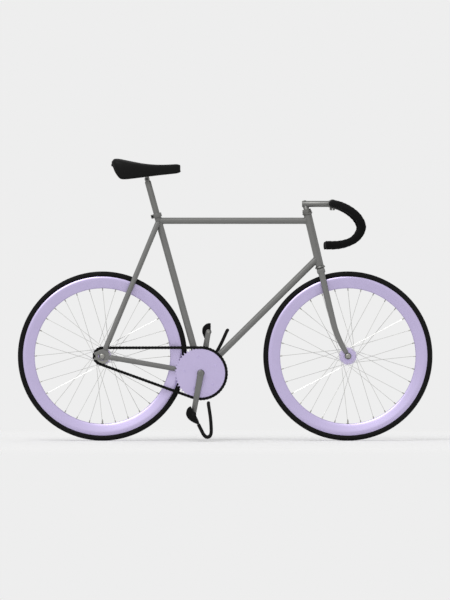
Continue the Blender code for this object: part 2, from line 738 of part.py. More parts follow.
def make_rear_triangle(seat_clearance, shell_clearance):
    """Make the stays, their bridges and the track ends."""
    stays = {}
    for label, side in (("left", 1), ("right", -1)):
        y = side * TRACK_END_MIDDLE
        flat("track_end_" + label, [track_end_outline(0.0)], TRACK_END_THICKNESS, y, "frame_paint")
        end_clearance = flat(
            "track_end_clearance_" + label, [track_end_outline(GAP)],
            TRACK_END_THICKNESS + 2 * GAP, y)

        path = smooth_path(chainstay_knots(side))
        front = 2 * PATH_STEPS + 1
        beside_tyre = CHAINSTAY_TYRE_DIAMETER / 2
        radii = (
            spread_radii(CHAINSTAY_FRONT_DIAMETER / 2, beside_tyre, front)
            + spread_radii(beside_tyre, CHAINSTAY_REAR_DIAMETER / 2, len(path) - front))
        stay = wire("chainstay_" + label, path, radii, "frame_paint", STAY_SIDES)
        bore_radii = [radius - STAY_WALL for radius in radii[:-PATH_STEPS]]
        inner = wire("chainstay_bore_" + label, path[:-PATH_STEPS], bore_radii, sides=BORE_SIDES)
        cut(stay, shell_clearance, seat_clearance, end_clearance, inner)
        stays["chainstay", side] = wire(
            "chainstay_clearance_" + label, path, [r + GAP for r in radii], sides=STAY_SIDES)

        top, foot = seatstay_line(side)
        radii = (SEATSTAY_BOTTOM_DIAMETER / 2, SEATSTAY_TOP_DIAMETER / 2)
        stay = rod("seatstay_" + label, foot, top, radii[0], "frame_paint", STAY_SIDES, radii[1])
        inner = rod(
            "seatstay_bore_" + label, foot + (top - foot).normalized() * TRACK_END_TAB, top,
            radii[0] - STAY_WALL, None, STAY_SIDES, radii[1] - STAY_WALL)
        cut(stay, seat_clearance, end_clearance, inner)
        stays["seatstay", side] = rod(
            "seatstay_clearance_" + label, foot, top, radii[0] + GAP, None, STAY_SIDES,
            radii[1] + GAP)

    bridge_ends = []
    for side in (-1, 1):
        top, foot = seatstay_line(side)
        from_axle = TYRE_RADIUS + SEATSTAY_BRIDGE_FROM_TYRE
        share = (from_axle - STAY_START_FROM_AXLE) / (top - foot).length
        bridge_ends.append(foot.lerp(top, share))
    bridge = rod(
        "seatstay_bridge", *bridge_ends, BRIDGE_DIAMETER / 2, "frame_paint", ROD_SIDES)
    cut(bridge, stays["seatstay", 1], stays["seatstay", -1])

    bridge_middle = REAR_AXLE + CHAINSTAY_DIRECTION * (TYRE_RADIUS + CHAINSTAY_BRIDGE_FROM_TYRE)
    half = ACROSS * CHAINSTAY_SPREAD_AT_TYRE
    bridge = rod(
        "chainstay_bridge", bridge_middle - half, bridge_middle + half, BRIDGE_DIAMETER / 2,
        "frame_paint", ROD_SIDES)
    cut(bridge, stays["chainstay", 1], stays["chainstay", -1])


def make_seat_clamp():
    """Make the split collar round the top of the seat tube, with its two ears at the back."""
    low = SEAT_TUBE_TOP - SEAT_UP * SEAT_CLAMP_HEIGHT
    inner = SEAT_TUBE_DIAMETER / 2 + GAP
    outer = inner + SEAT_CLAMP_THICKNESS
    collar = rod("seat_clamp", low, SEAT_TUBE_TOP, outer, "grey_alloy")
    seat_back = -at(SEAT_UP.z, -SEAT_UP.x)
    lean = Matrix.Rotation(math.pi / 2 - SEAT_ANGLE, 4, "Y").inverted()
    middle = (low + SEAT_TUBE_TOP) / 2
    ears = box(
        "seat_clamp_ears", middle + seat_back * (inner + SEAT_CLAMP_EAR / 2),
        (SEAT_CLAMP_EAR, SEAT_CLAMP_EAR, SEAT_CLAMP_EAR_HEIGHT), turn=lean)
    split = box(
        "seat_clamp_split", middle + seat_back * (inner + SEAT_CLAMP_EAR / 2),
        (2 * SEAT_CLAMP_EAR, SEAT_CLAMP_SPLIT, 2 * SEAT_CLAMP_HEIGHT), turn=lean)
    overrun = SEAT_UP * OVERRUN
    hole = rod("seat_clamp_hole", low - overrun, SEAT_TUBE_TOP + overrun, inner)
    cut(add(collar, ears), hole, split)


# Headset and fork

CUP_BORE = STEERER_DIAMETER / 2 + RUNNING_GAP


def make_headset():
    """Make the two pressed cups and the locknut that holds the fork in the frame."""
    skirt = HEAD_TUBE_BORE_DIAMETER / 2 - GAP
    outer = CUP_DIAMETER / 2
    for name, start, up in (
        ("headset_upper_cup", HEAD_TOP, STEER_UP),
        ("headset_lower_cup", HEAD_BOTTOM, -STEER_UP),
    ):
        turned(
            name,
            [(outer, CUP_HEIGHT), (HEAD_TUBE_DIAMETER / 2, GAP), (skirt, GAP),
             (skirt, -CUP_SKIRT_LENGTH),
             (CUP_BORE, -CUP_SKIRT_LENGTH), (CUP_BORE, CUP_HEIGHT)],
            start, up, "grey_alloy")
    bore = STEERER_DIAMETER / 2 + GAP
    radius, top = LOCKNUT_DIAMETER / 2, LOCKNUT_TOP_DIAMETER / 2
    turned(
        "headset_locknut",
        [(top, LOCKNUT_HEIGHT), (top, LOCKNUT_STEP_HEIGHT + LOCKNUT_STEP_SLOPE),
         (radius, LOCKNUT_STEP_HEIGHT), (radius, 0.0), (bore, 0.0), (bore, LOCKNUT_HEIGHT)],
        HEAD_TOP + STEER_UP * (CUP_HEIGHT + GAP), STEER_UP, "grey_alloy")


FORK_END_MIDDLE = FRONT_SPACING / 2 + FORK_END_THICKNESS / 2


def blade_knots(side):
    """Return the knots of a fork blade's middle line, from the crown to the fork end."""
    top = (CROWN_TOP + CROWN_BOTTOM) / 2
    bend = on_steering_axis(FRONT_AXLE.z + FORK_BEND_ABOVE_AXLE)
    lower, near = [
        on_steering_axis(FRONT_AXLE.z + FORK_BEND_ABOVE_AXLE * height)
        + STEER_FORWARD * FORK_RAKE * rake
        for height, rake in FORK_CURVE]
    foot = FRONT_AXLE + (near - FRONT_AXLE).normalized() * FORK_BLADE_BOTTOM_DIAMETER
    whole = (top - foot).length

    def wide(point):
        share = (top - point).length / whole
        y = FORK_BLADE_SPREAD_AT_CROWN + (FORK_END_MIDDLE - FORK_BLADE_SPREAD_AT_CROWN) * share
        return point + ACROSS * side * y

    return [wide(p) for p in (top, bend, lower, near, foot)]


def make_fork():
    """Make the steerer, crown, and the two raked blades with their fork ends."""
    steerer_foot = CROWN_BOTTOM
    steerer_top = HEAD_TOP + STEER_UP * (CUP_HEIGHT + GAP + LOCKNUT_HEIGHT)
    length = (steerer_top - steerer_foot).length
    outer = STEERER_DIAMETER / 2
    inner = outer - STEERER_WALL
    turned(
        "steerer_tube", [(outer, length), (outer, 0.0), (inner, 0.0), (inner, length)],
        steerer_foot, STEER_UP, "bright_steel")

    lean = Matrix.Rotation(math.pi / 2 - HEAD_ANGLE, 4, "Y").inverted()
    half_width = FORK_BLADE_SPREAD_AT_CROWN + FORK_BLADE_TOP_DIAMETER / 2
    crown = box(
        "fork_crown", (CROWN_TOP + CROWN_BOTTOM) / 2,
        (CROWN_DEPTH, 2 * half_width, CROWN_HEIGHT), "frame_paint", lean)
    rounded(crown, CROWN_EDGE_RADIUS)
    race = rod(
        "crown_race", CROWN_BOTTOM, CROWN_TOP + STEER_UP * CROWN_RACE_HEIGHT,
        HEAD_TUBE_DIAMETER / 2)
    hole = rod(
        "crown_hole", CROWN_BOTTOM - STEER_UP * OVERRUN, CROWN_TOP + STEER_UP * OVERRUN,
        outer + GAP)
    cut(add(crown, race), hole)
    crown_clearance = box(
        "crown_clearance", CROWN_TOP - STEER_UP * GAP,
        (2 * CROWN_DEPTH, 3 * half_width, 2 * CROWN_HEIGHT), turn=lean)

    for label, side in (("left", 1), ("right", -1)):
        knots = blade_knots(side)
        path = smooth_path(knots)
        radii = spread_radii(
            FORK_BLADE_TOP_DIAMETER / 2, FORK_BLADE_BOTTOM_DIAMETER / 2, len(path))
        blade = wire("fork_blade_" + label, path, radii, "frame_paint", STAY_SIDES)
        bore_radii = [radius - STAY_WALL for radius in radii[:-PATH_STEPS]]
        inner = wire("fork_bore_" + label, path[:-PATH_STEPS], bore_radii, sides=BORE_SIDES)
        end = flat(
            "fork_end_" + label, [fork_end_outline(knots)], FORK_END_THICKNESS,
            side * FORK_END_MIDDLE)
        slot_clearance = flat(
            "fork_slot_" + label, [fork_slot_outline()], 4 * FORK_END_THICKNESS,
            side * FORK_END_MIDDLE)
        inner_face = FRONT_SPACING / 2 + GAP
        inside_face = box(
            "hub_clearance_" + label, FRONT_AXLE + ACROSS * side * inner_face / 2,
            (2 * FORK_END_TAB, inner_face, 2 * FORK_BLADE_BOTTOM_DIAMETER))
        outer_face = FRONT_SPACING / 2 + FORK_END_THICKNESS - GAP
        nut_face = box(
            "nut_clearance_" + label, FRONT_AXLE + ACROSS * side * (outer_face + OVERRUN),
            (2 * FORK_END_TAB, 2 * OVERRUN, 2 * FORK_BLADE_BOTTOM_DIAMETER))
        cut(blade, crown_clearance, inner, inside_face, nut_face)
        cut(add(blade, end), slot_clearance)


def fork_end_outline(knots):
    """Return a fork end's outline: a round plate with a tab that runs up into the blade."""
    near = Vector((knots[-2].x, 0.0, knots[-2].z))
    up = (near - FRONT_AXLE).normalized()
    angle = math.atan2(up.z, up.x)
    radius = FORK_END_WIDTH / 2
    tab = FORK_END_TAB_WIDTH / 2
    tip = FRONT_AXLE + up * FORK_END_TAB
    start = angle + math.asin(tab / radius)
    end = 2 * (angle + math.pi) - start
    around = arc((FRONT_AXLE.x, FRONT_AXLE.z), radius, start, end, 2 * HALF_ROUND_POINTS)
    corners = [tip + at(-up.z, up.x) * tab * side for side in (-1, 1)]
    return [(corner.x, corner.z) for corner in corners] + around


def fork_slot_outline():
    """Return the outline of the slot that the front axle drops out of."""
    half = FRONT_AXLE_DIAMETER / 2 + GAP
    x, z = FRONT_AXLE.x, FRONT_AXLE.z
    top = arc((x, z), half, 0.0, math.pi, HALF_ROUND_POINTS)
    return top + [(x - half, z - FORK_END_WIDTH), (x + half, z - FORK_END_WIDTH)]


# Wheels


def make_axle(prefix, centre, spacing, plate, diameter, hub_ends):
    """Make an axle with its cones, and its two nuts outside the plates that hold it."""
    radius = diameter / 2
    cone = CONE_DIAMETER / 2
    inner_face = spacing / 2 - GAP
    end = spacing / 2 + plate + GAP + NUT_THICKNESS + AXLE_END_PAST_NUT
    left, right = hub_ends
    turned(
        prefix + "_axle",
        [(0.0, end), (radius, end), (radius, inner_face), (cone, inner_face), (cone, left),
         (radius, left), (radius, -right), (cone, -right), (cone, -inner_face),
         (radius, -inner_face), (radius, -end), (0.0, -end)],
        centre, ACROSS, "bright_steel", ROD_SIDES, closed=False)
    corner = NUT_ACROSS_CORNERS / 2
    hole = (radius + GAP) / math.cos(math.pi / NUT_SIDES)
    for label, side in (("left", 1), ("right", -1)):
        face = centre + ACROSS * side * (spacing / 2 + plate + GAP)
        turned(
            prefix + "_axle_nut_" + label,
            [(corner - NUT_CHAMFER, NUT_THICKNESS), (corner, NUT_THICKNESS - NUT_CHAMFER),
             (corner, 0.0), (hole, 0.0), (hole, NUT_THICKNESS)],
            face, ACROSS * side, "bright_steel", NUT_SIDES)


def make_tyre_and_rim(prefix, centre):
    """Make a tubular tyre, and the deep hollow rim with the curved bed it is glued into."""
    edge = RIM_WIDTH / 2
    lip = edge - RIM_LIP_INSET
    bed = RIM_OUTER_RADIUS - RIM_BED_DEPTH
    bed_edge = RIM_BED_WIDTH / 2
    inner = RIM_OUTER_RADIUS - RIM_DEPTH
    inner_edge = RIM_INNER_EDGE_WIDTH / 2
    shoulder = RIM_OUTER_RADIUS - RIM_SHOULDER_DEPTH
    rim = turned(
        prefix + "_rim",
        [(RIM_OUTER_RADIUS, lip), (bed, bed_edge), (bed, -bed_edge), (RIM_OUTER_RADIUS, -lip),
         (shoulder, -edge), (inner, -inner_edge), (inner, inner_edge), (shoulder, edge)],
        centre, ACROSS, "lavender_anodised", WHEEL_SIDES)
    ceiling, side_wall = bed - RIM_WALL, edge - RIM_WALL
    hollow = turned(
        prefix + "_rim_hollow",
        [(ceiling, side_wall), (ceiling, -side_wall), (shoulder, -side_wall),
         (inner + 2 * RIM_WALL, 0.0), (shoulder, side_wall)],
        centre, ACROSS, sides=WHEEL_SIDES)
    valve_hole = rod(
        prefix + "_valve_hole", centre - at(0.0, inner - OVERRUN),
        centre - at(0.0, RIM_OUTER_RADIUS + OVERRUN), VALVE_HOLE_DIAMETER / 2, sides=BORE_SIDES)
    cut(rim, hollow, valve_hole)

    half = TYRE_WIDTH / 2
    middle = TYRE_RADIUS - half
    crown = [
        (middle + half * math.cos(a), half * math.sin(a))
        for a in (math.radians(degrees) for degrees in TYRE_SECTION_DEGREES)
    ]
    rim_top = RIM_OUTER_RADIUS + GAP
    seat = [(rim_top, -lip), (bed + GAP, -bed_edge), (bed + GAP, bed_edge), (rim_top, lip)]
    turned(prefix + "_tyre", crown + seat, centre, ACROSS, "black_rubber", WHEEL_SIDES)


def spoke_ends(centre, side, hole, flange_face):
    """Return a spoke's two ends, from its place beside the flange to the rim's inner edge."""
    step = 2 * math.pi / SPOKES_PER_SIDE
    rim_angle = step * hole + (0.0 if side > 0 else step / 2)
    flange_angle = rim_angle + SPOKE_CROSSINGS * step * (1 if hole % 2 else -1)
    reach = SPOKE_HOLE_CIRCLE / 2
    flat_of_rim = (RIM_OUTER_RADIUS - RIM_DEPTH) * math.cos(math.pi / WHEEL_SIDES)
    inner = flat_of_rim - 2 * GAP
    lift = SPOKE_INTERLACE if hole % 2 else 0.0
    head = centre + Vector((
        reach * math.cos(flange_angle), side * (flange_face + SPOKE_STANDS_OFF + lift),
        reach * math.sin(flange_angle)))
    foot = centre + Vector((
        inner * math.cos(rim_angle), side * (SPOKE_REST_FROM_CENTRE + lift),
        inner * math.sin(rim_angle)))
    return head, foot


def spoke_set(name, centre, side, flange_face, first, finish=None):
    """Return every second spoke of one side, starting at the first, as one mesh."""
    shape = bmesh.new()
    for hole in range(first, SPOKES_PER_SIDE, 2):
        head, foot = spoke_ends(centre, side, hole, flange_face)
        bmesh.ops.create_cone(
            shape, cap_ends=True, segments=SPOKE_SIDES, radius1=SPOKE_DIAMETER / 2,
            radius2=SPOKE_DIAMETER / 2, depth=(foot - head).length,
            matrix=toward((head + foot) / 2, foot - head))
    return from_bmesh(name, shape, finish)


def make_spokes(prefix, label, side, centre, flange_face):
    """Make one side's spokes, tied to each other where they cross."""
    name = prefix + "_spokes_" + label
    spokes = spoke_set(name, centre, side, flange_face, 0, "bright_steel")
    add(spokes, spoke_set(name + "_crossing", centre, side, flange_face, 1))


def hub_outline(flange_spread, left_end, right_end):
    """Return a high flange hub shell's section, top to bottom down its outer side."""
    half = FLANGE_THICKNESS / 2
    barrel_end = flange_spread - half - FLANGE_FILLET
    flange = FLANGE_DIAMETER / 2
    barrel = HUB_BARREL_DIAMETER / 2
    boss = HUB_BOSS_DIAMETER / 2
    bore = HUB_BORE_DIAMETER / 2
    return [
        (boss, left_end), (boss, flange_spread + half), (flange, flange_spread + half),
        (flange, flange_spread - half), (barrel, barrel_end),
        (barrel, -barrel_end), (flange, -flange_spread + half),
        (flange, -flange_spread - half), (boss, -flange_spread - half), (boss, -right_end),
        (bore, -right_end), (bore, left_end),
    ]


def make_wheel(prefix, centre, flange_spread, spacing, plate, axle_diameter, right_end=None):
    """Make a wheel's tyre, rim, spokes and hub shell, and the axle and nuts that hold it."""
    make_tyre_and_rim(prefix, centre)
    flange_face = flange_spread + FLANGE_THICKNESS / 2
    left_end = flange_face + HUB_BOSS_LENGTH
    right_end = right_end or left_end
    turned(
        prefix + "_hub_shell", hub_outline(flange_spread, left_end, right_end),
        centre, ACROSS, "lavender_anodised", FITTING_SIDES)
    for label, side in (("left", 1), ("right", -1)):
        make_spokes(prefix, label, side, centre, flange_face)
    hub_ends = (left_end + RUNNING_GAP, right_end + RUNNING_GAP)
    make_axle(prefix, centre, spacing, plate, axle_diameter, hub_ends)


# Drive train pieces

LEAN = math.asin((RING_RADIUS - COG_RADIUS) / CHAINSTAY_LENGTH)
CENTRE_LINE_ANGLE = math.atan2((BRACKET - REAR_AXLE).z, (BRACKET - REAR_AXLE).x)
UPPER_ANGLE = CENTRE_LINE_ANGLE + math.pi / 2 + LEAN
LOWER_ANGLE = CENTRE_LINE_ANGLE - math.pi / 2 - LEAN
STRAIGHT_LINKS = CHAINSTAY_LENGTH * math.cos(LEAN) / CHAIN_PITCH


def round_point(centre, radius, angle):
    """Return the point on a circle in the side view."""
    return centre + at(math.cos(angle), math.sin(angle)) * radius


def chain_edge(offset):
    """Return the outline of the chain's plates at an offset from the line of the rollers."""
    ring = arc((BRACKET.x, BRACKET.z), RING_RADIUS + offset, LOWER_ANGLE, UPPER_ANGLE,
               CHAIN_POINTS_ON_RING)
    cog = arc((REAR_AXLE.x, REAR_AXLE.z), COG_RADIUS + offset, UPPER_ANGLE,
              LOWER_ANGLE + 2 * math.pi, CHAIN_POINTS_ON_COG)
    return ring + cog


def make_chain():
    """Make the closed chain: two loops of side plates, joined over the tips of the teeth."""
    half = CHAIN_PLATE_HEIGHT / 2
    width = CHAIN_INNER_WIDTH + 2 * CHAIN_PLATE_THICKNESS
    chain = flat(
        "chain", [chain_edge(half), chain_edge(-half)], width, -CHAIN_LINE, "black_steel")
    tooth_room = flat(
        "chain_tooth_room", [chain_edge(half - CHAIN_BACK_THICKNESS), chain_edge(-2 * half)],
        CHAIN_INNER_WIDTH, -CHAIN_LINE)
    cut(chain, tooth_room)


def toothed_outline(centre, teeth, phase, tooth_height):
    """Return the outline of a sprocket with a roller seat at the phase angle."""
    radius = pitch_radius(teeth)
    seat_turns = (ROLLER_SEAT_ARC, 0.0, -ROLLER_SEAT_ARC)
    seat = (ROLLER_RADIUS + GAP) / math.cos(ROLLER_SEAT_ARC / 2)
    tip = radius + tooth_height
    half_tip = TOOTH_TIP_WIDTH / 2 / tip
    outline = []
    for tooth in range(teeth):
        angle = phase + 2 * math.pi * tooth / teeth
        roller = round_point(centre, radius, angle)
        seats = [round_point(roller, seat, angle + math.pi + turn) for turn in seat_turns]
        middle = angle + math.pi / teeth
        tips = [round_point(centre, tip, middle + side * half_tip) for side in (-1, 1)]
        outline += [(p.x, p.z) for p in seats + tips]
    return outline


def make_sprockets():
    """Make the chainring, and the rear cog with the lockring that holds it on the hub."""
    bore = CRANK_BOSS_DIAMETER / 2 + RUNNING_GAP
    flat(
        "chainring",
        [toothed_outline(BRACKET, RING_TEETH, UPPER_ANGLE, RING_TOOTH_HEIGHT),
         arc((BRACKET.x, BRACKET.z), bore, 2 * math.pi, 2 * math.pi / FITTING_SIDES,
             FITTING_SIDES)],
        TOOTH_THICKNESS, -CHAIN_LINE, "lavender_anodised")

    first_roller = math.ceil(STRAIGHT_LINKS) - STRAIGHT_LINKS
    phase = UPPER_ANGLE + first_roller * 2 * math.pi / COG_TEETH
    bore = HUB_BOSS_DIAMETER / 2 + GAP
    half = COG_THICKNESS / 2
    middle = REAR_AXLE - ACROSS * CHAIN_LINE
    flat(
        "rear_cog",
        [toothed_outline(REAR_AXLE, COG_TEETH, phase, COG_TOOTH_HEIGHT),
         arc((REAR_AXLE.x, REAR_AXLE.z), bore, 2 * math.pi, 2 * math.pi / FITTING_SIDES,
             FITTING_SIDES)],
        COG_THICKNESS, -CHAIN_LINE, "bright_steel")

    radius = LOCKRING_DIAMETER / 2
    face = middle - ACROSS * (half + GAP)
    turned(
        "rear_lockring",
        [(radius - LOCKRING_CHAMFER, LOCKRING_THICKNESS),
         (radius, LOCKRING_THICKNESS - LOCKRING_CHAMFER), (radius, 0.0), (bore, 0.0),
         (bore, LOCKRING_THICKNESS)],
        face, -ACROSS, "bright_steel")


# Cranks and pedals


def crank_end(side):
    """Return the point of the pedal's axis that lies on the middle plane."""
    down = -side
    lean = CRANK_ANGLE_FROM_VERTICAL
    return BRACKET + at(-down * math.sin(lean), -down * math.cos(lean)) * CRANK_LENGTH


def link_outline(first, first_radius, second, second_radius):
    """Return the outline of a bar with two round ends of their own radii."""
    line = second - first
    angle = math.atan2(line.z, line.x)
    spread = math.acos((first_radius - second_radius) / line.length)
    start = arc(
        (first.x, first.z), first_radius, angle + spread, angle - spread + 2 * math.pi,
        HALF_ROUND_POINTS)
    end = arc(
        (second.x, second.z), second_radius, angle - spread, angle + spread, HALF_ROUND_POINTS)
    return start + end


def spider_outline():
    """Return the outline of the spider's arms, which end in round tabs."""
    outline = []
    step = 2 * math.pi / SPIDER_ARMS
    for arm in range(SPIDER_ARMS):
        angle = math.pi / 2 + CRANK_ANGLE_FROM_VERTICAL + arm * step
        tab = round_point(BRACKET, SPIDER_BOLT_RADIUS, angle)
        valley = round_point(BRACKET, SPIDER_HUB_RADIUS, angle - step / 2)
        outline.append((valley.x, valley.z))
        outline += arc(
            (tab.x, tab.z), SPIDER_TAB_RADIUS, angle - math.pi / 2, angle + math.pi / 2,
            HALF_ROUND_POINTS)
    return outline


def make_bottom_bracket():
    """Make the sealed cartridge in the shell and the square taper spindle in it."""
    flange_start = SHELL_WIDTH / 2 + GAP
    end = flange_start + CARTRIDGE_FLANGE_THICKNESS
    body = SHELL_BORE_DIAMETER / 2 - GAP
    flange = CARTRIDGE_FLANGE_DIAMETER / 2
    bore = SPINDLE_DIAMETER / 2 + RUNNING_GAP
    turned(
        "bottom_bracket_cartridge",
        [(flange, end), (flange, flange_start), (body, flange_start), (body, -flange_start),
         (flange, -flange_start), (flange, -end), (bore, -end), (bore, end)],
        BRACKET, ACROSS, "black_steel")

    middle = ACROSS * end
    spindle = rod(
        "bottom_bracket_spindle", BRACKET - middle, BRACKET + middle, SPINDLE_DIAMETER / 2,
        "bright_steel")
    add(spindle, taper("spindle_taper_left", 1, 0.0), taper("spindle_taper_right", -1, 0.0))


def taper(name, side, growth):
    """Return one square end of the spindle."""
    radius = SPINDLE_SQUARE / math.sqrt(2) + growth
    start = BRACKET + ACROSS * side * (SHELL_WIDTH / 2 - CARTRIDGE_FLANGE_THICKNESS)
    end = BRACKET + ACROSS * side * (SPINDLE_LENGTH / 2 + growth)
    return rod(name, start, end, radius, sides=4, end_radius=radius - SPINDLE_TAPER)


def make_cranks():
    """Make both crank arms, the right one with its spider, and the pedal spindles in them."""
    boss_start = SHELL_WIDTH / 2 + CARTRIDGE_FLANGE_THICKNESS + 2 * RUNNING_GAP
    middle = CRANK_INNER_FACE + CRANK_THICKNESS / 2
    for label, side in (("right", -1), ("left", 1)):
        axle = crank_end(side)
        outline = link_outline(
            BRACKET, CRANK_WIDTH_AT_SPINDLE / 2, axle, CRANK_WIDTH_AT_PEDAL / 2)
        arm = flat("crank_arm_" + label, [outline], CRANK_THICKNESS, side * middle, "grey_alloy")
        rounded(arm, CRANK_EDGE_RADIUS)
        boss = rod(
            "crank_boss_" + label, BRACKET + ACROSS * side * boss_start,
            BRACKET + ACROSS * side * (CRANK_INNER_FACE + CRANK_BOSS_DEPTH_IN_ARM),
            CRANK_BOSS_DIAMETER / 2)
        add(arm, boss)
        if side < 0:
            spider_face = CHAIN_LINE - TOOTH_THICKNESS / 2 - GAP
            spider = flat(
                "crank_spider", [spider_outline()], SPIDER_THICKNESS,
                -(spider_face - SPIDER_THICKNESS / 2))
            add(arm, spider)
        thread = rod(
            "pedal_thread_" + label, axle + ACROSS * side * (CRANK_INNER_FACE - OVERRUN),
            axle + ACROSS * side * (CRANK_INNER_FACE + CRANK_THICKNESS + OVERRUN),
            PEDAL_SPINDLE_DIAMETER / 2 + GAP, sides=ROD_SIDES)
        cut(arm, taper("crank_taper_" + label, side, GAP), thread)
        make_pedal_spindle(label, side, axle)


PEDAL_SPINDLE_START = CRANK_INNER_FACE + CRANK_THICKNESS + GAP
PEDAL_INNER_FACE = PEDAL_SPINDLE_START + PEDAL_SPINDLE_FLANGE_THICKNESS + RUNNING_GAP


def make_pedal_spindle(label, side, axle):
    """Make a pedal's spindle, which screws into the crank arm up to its flange."""
    radius = PEDAL_SPINDLE_DIAMETER / 2
    flange = PEDAL_SPINDLE_FLANGE_DIAMETER / 2
    thread = PEDAL_SPINDLE_START - CRANK_INNER_FACE
    end = PEDAL_INNER_FACE - PEDAL_SPINDLE_START + PEDAL_WIDTH - PEDAL_PLATE_THICKNESS / 2
    turned(
        "pedal_spindle_" + label,
        [(0.0, end), (radius, end), (radius, PEDAL_SPINDLE_FLANGE_THICKNESS),
         (flange, PEDAL_SPINDLE_FLANGE_THICKNESS), (flange, 0.0), (radius, 0.0),
         (radius, -thread), (0.0, -thread)],
        axle + ACROSS * side * PEDAL_SPINDLE_START, ACROSS * side, "bright_steel", ROD_SIDES,
        closed=False)


def make_pedal(label, side, toe_down):
    """Make a pedal's cage on its barrel, and the strapless toe clip on its front."""
    axle = crank_end(side)
    toe = at(math.cos(toe_down), -math.sin(toe_down))
    up = at(math.sin(toe_down), math.cos(toe_down))

    def outline(pairs):
        points = [axle + toe * along + up * above for along, above in pairs]
        return [(p.x, p.z) for p in points]

    behind, ahead = -PEDAL_BEHIND_AXLE, PEDAL_AHEAD_OF_AXLE
    top = PEDAL_ABOVE_AXLE
    bar = PEDAL_CAGE_BAR
    plate = outline([(behind, top), (ahead, top)] + [
        (share * ahead if share > 0 else -share * behind, -PEDAL_BELOW_AXLE * down)
        for share, down in PEDAL_PLATE_CORNERS])
    middle = side * (PEDAL_INNER_FACE + PEDAL_WIDTH / 2)
    inner = PEDAL_INNER_FACE + PEDAL_PLATE_THICKNESS / 2
    outer = PEDAL_INNER_FACE + PEDAL_WIDTH - PEDAL_PLATE_THICKNESS / 2
    low, high = -bar / 2, top - PEDAL_BAR_INSET
    bars = (("front", ahead - PEDAL_BAR_INSET - bar), ("rear", behind + PEDAL_BAR_INSET))
    pedal = flat("pedal_" + label, [plate], PEDAL_PLATE_THICKNESS, side * inner, "black_steel")
    half = PEDAL_WIDTH / 2
    centre = at(axle.x, axle.z, middle)
    barrel = rod(
        "pedal_barrel_" + label, centre - ACROSS * (half - PEDAL_PLATE_THICKNESS / 2),
        centre + ACROSS * (half - PEDAL_PLATE_THICKNESS / 2), PEDAL_BARREL_DIAMETER / 2)
    add(pedal, flat("pedal_outer_plate_" + label, [plate], PEDAL_PLATE_THICKNESS, side * outer))
    add(pedal, barrel)
    for name, back in bars:
        corners = outline([(back, high), (back + bar, high), (back + bar, low), (back, low)])
        add(pedal, flat(
            "pedal_bar_" + name + "_" + label, [corners], PEDAL_WIDTH - PEDAL_PLATE_THICKNESS,
            middle))
    bore = rod(
        "pedal_bore_" + label, centre - ACROSS * PEDAL_WIDTH, centre + ACROSS * PEDAL_WIDTH,
        PEDAL_SPINDLE_DIAMETER / 2 + RUNNING_GAP, sides=ROD_SIDES)
    cut(pedal, bore)

    rod_radius = TOE_CLIP_ROD_DIAMETER / 2
    reach = TOE_CLIP_REACH - rod_radius
    rise = TOE_CLIP_TOP_HEIGHT - rod_radius
    end = rod_radius - TOE_CLIP_END_BEHIND_AXLE
    half_path = [(PEDAL_AHEAD_OF_AXLE + 3 * GAP, TOE_CLIP_FOOT_HEIGHT, TOE_CLIP_HALF_WIDTH)]
    half_path += [
        (reach * along, rise * above, TOE_CLIP_HALF_WIDTH * wide)
        for along, above, wide in TOE_CLIP_SHAPE]
    half_path.append((end, rise - rod_radius / 2, TOE_CLIP_TOP_HALF_WIDTH))
    left, right = [
        [centre + toe * along + up * above + ACROSS * hand * wide
         for along, above, wide in half_path]
        for hand in (1, -1)]
    path = left + [centre + toe * (end - rod_radius) + up * rise] + right[::-1]
    wire("toe_clip_" + label, path, [rod_radius] * len(path), "black_resin", NUT_SIDES)


# Stem and handlebar

STEM_TOP = on_steering_axis(STEM_HEIGHT)
BAR_CENTRE = STEM_TOP + at(STEM_EXTENSION, 0.0)


def make_stem():
    """Make the quill stem, shaped like a 7, with its round handlebar clamp."""
    locknut_top = HEAD_TOP + STEER_UP * (CUP_HEIGHT + GAP + LOCKNUT_HEIGHT)
    quill_foot = locknut_top - STEER_UP * QUILL_INSERTION
    stem = rod("stem", quill_foot, STEM_TOP, QUILL_DIAMETER / 2, "grey_alloy")
    corner = STEM_TOP - at(STEM_DIAMETER / 2, 0.0)
    extension = rod("stem_extension", corner, BAR_CENTRE, STEM_DIAMETER / 2)
    half = ACROSS * STEM_CLAMP_WIDTH / 2
    clamp = rod("stem_clamp", BAR_CENTRE - half, BAR_CENTRE + half, STEM_CLAMP_DIAMETER / 2)
    bore = rod(
        "stem_bore", BAR_CENTRE - 2 * half, BAR_CENTRE + 2 * half,
        BAR_CLAMP_DIAMETER / 2 + RUNNING_GAP / 2)
    slot = box(
        "stem_slot", BAR_CENTRE - at(0.0, STEM_CLAMP_DIAMETER / 2),
        (STEM_SLOT_WIDTH, 2 * STEM_CLAMP_WIDTH, STEM_CLAMP_DIAMETER))
    cut(add(stem, extension, clamp), bore, slot)


def bar_knots(side):
    """Return the knots of one side of the drop bar, from the end of its straight middle."""
    return [BAR_CENTRE + ACROSS * side * TAPE_START] + [
        BAR_CENTRE + Vector((BAR_REACH * ahead, side * BAR_HALF_WIDTH * out, -BAR_DROP * down))
        for ahead, down, out in BAR_SHAPE]


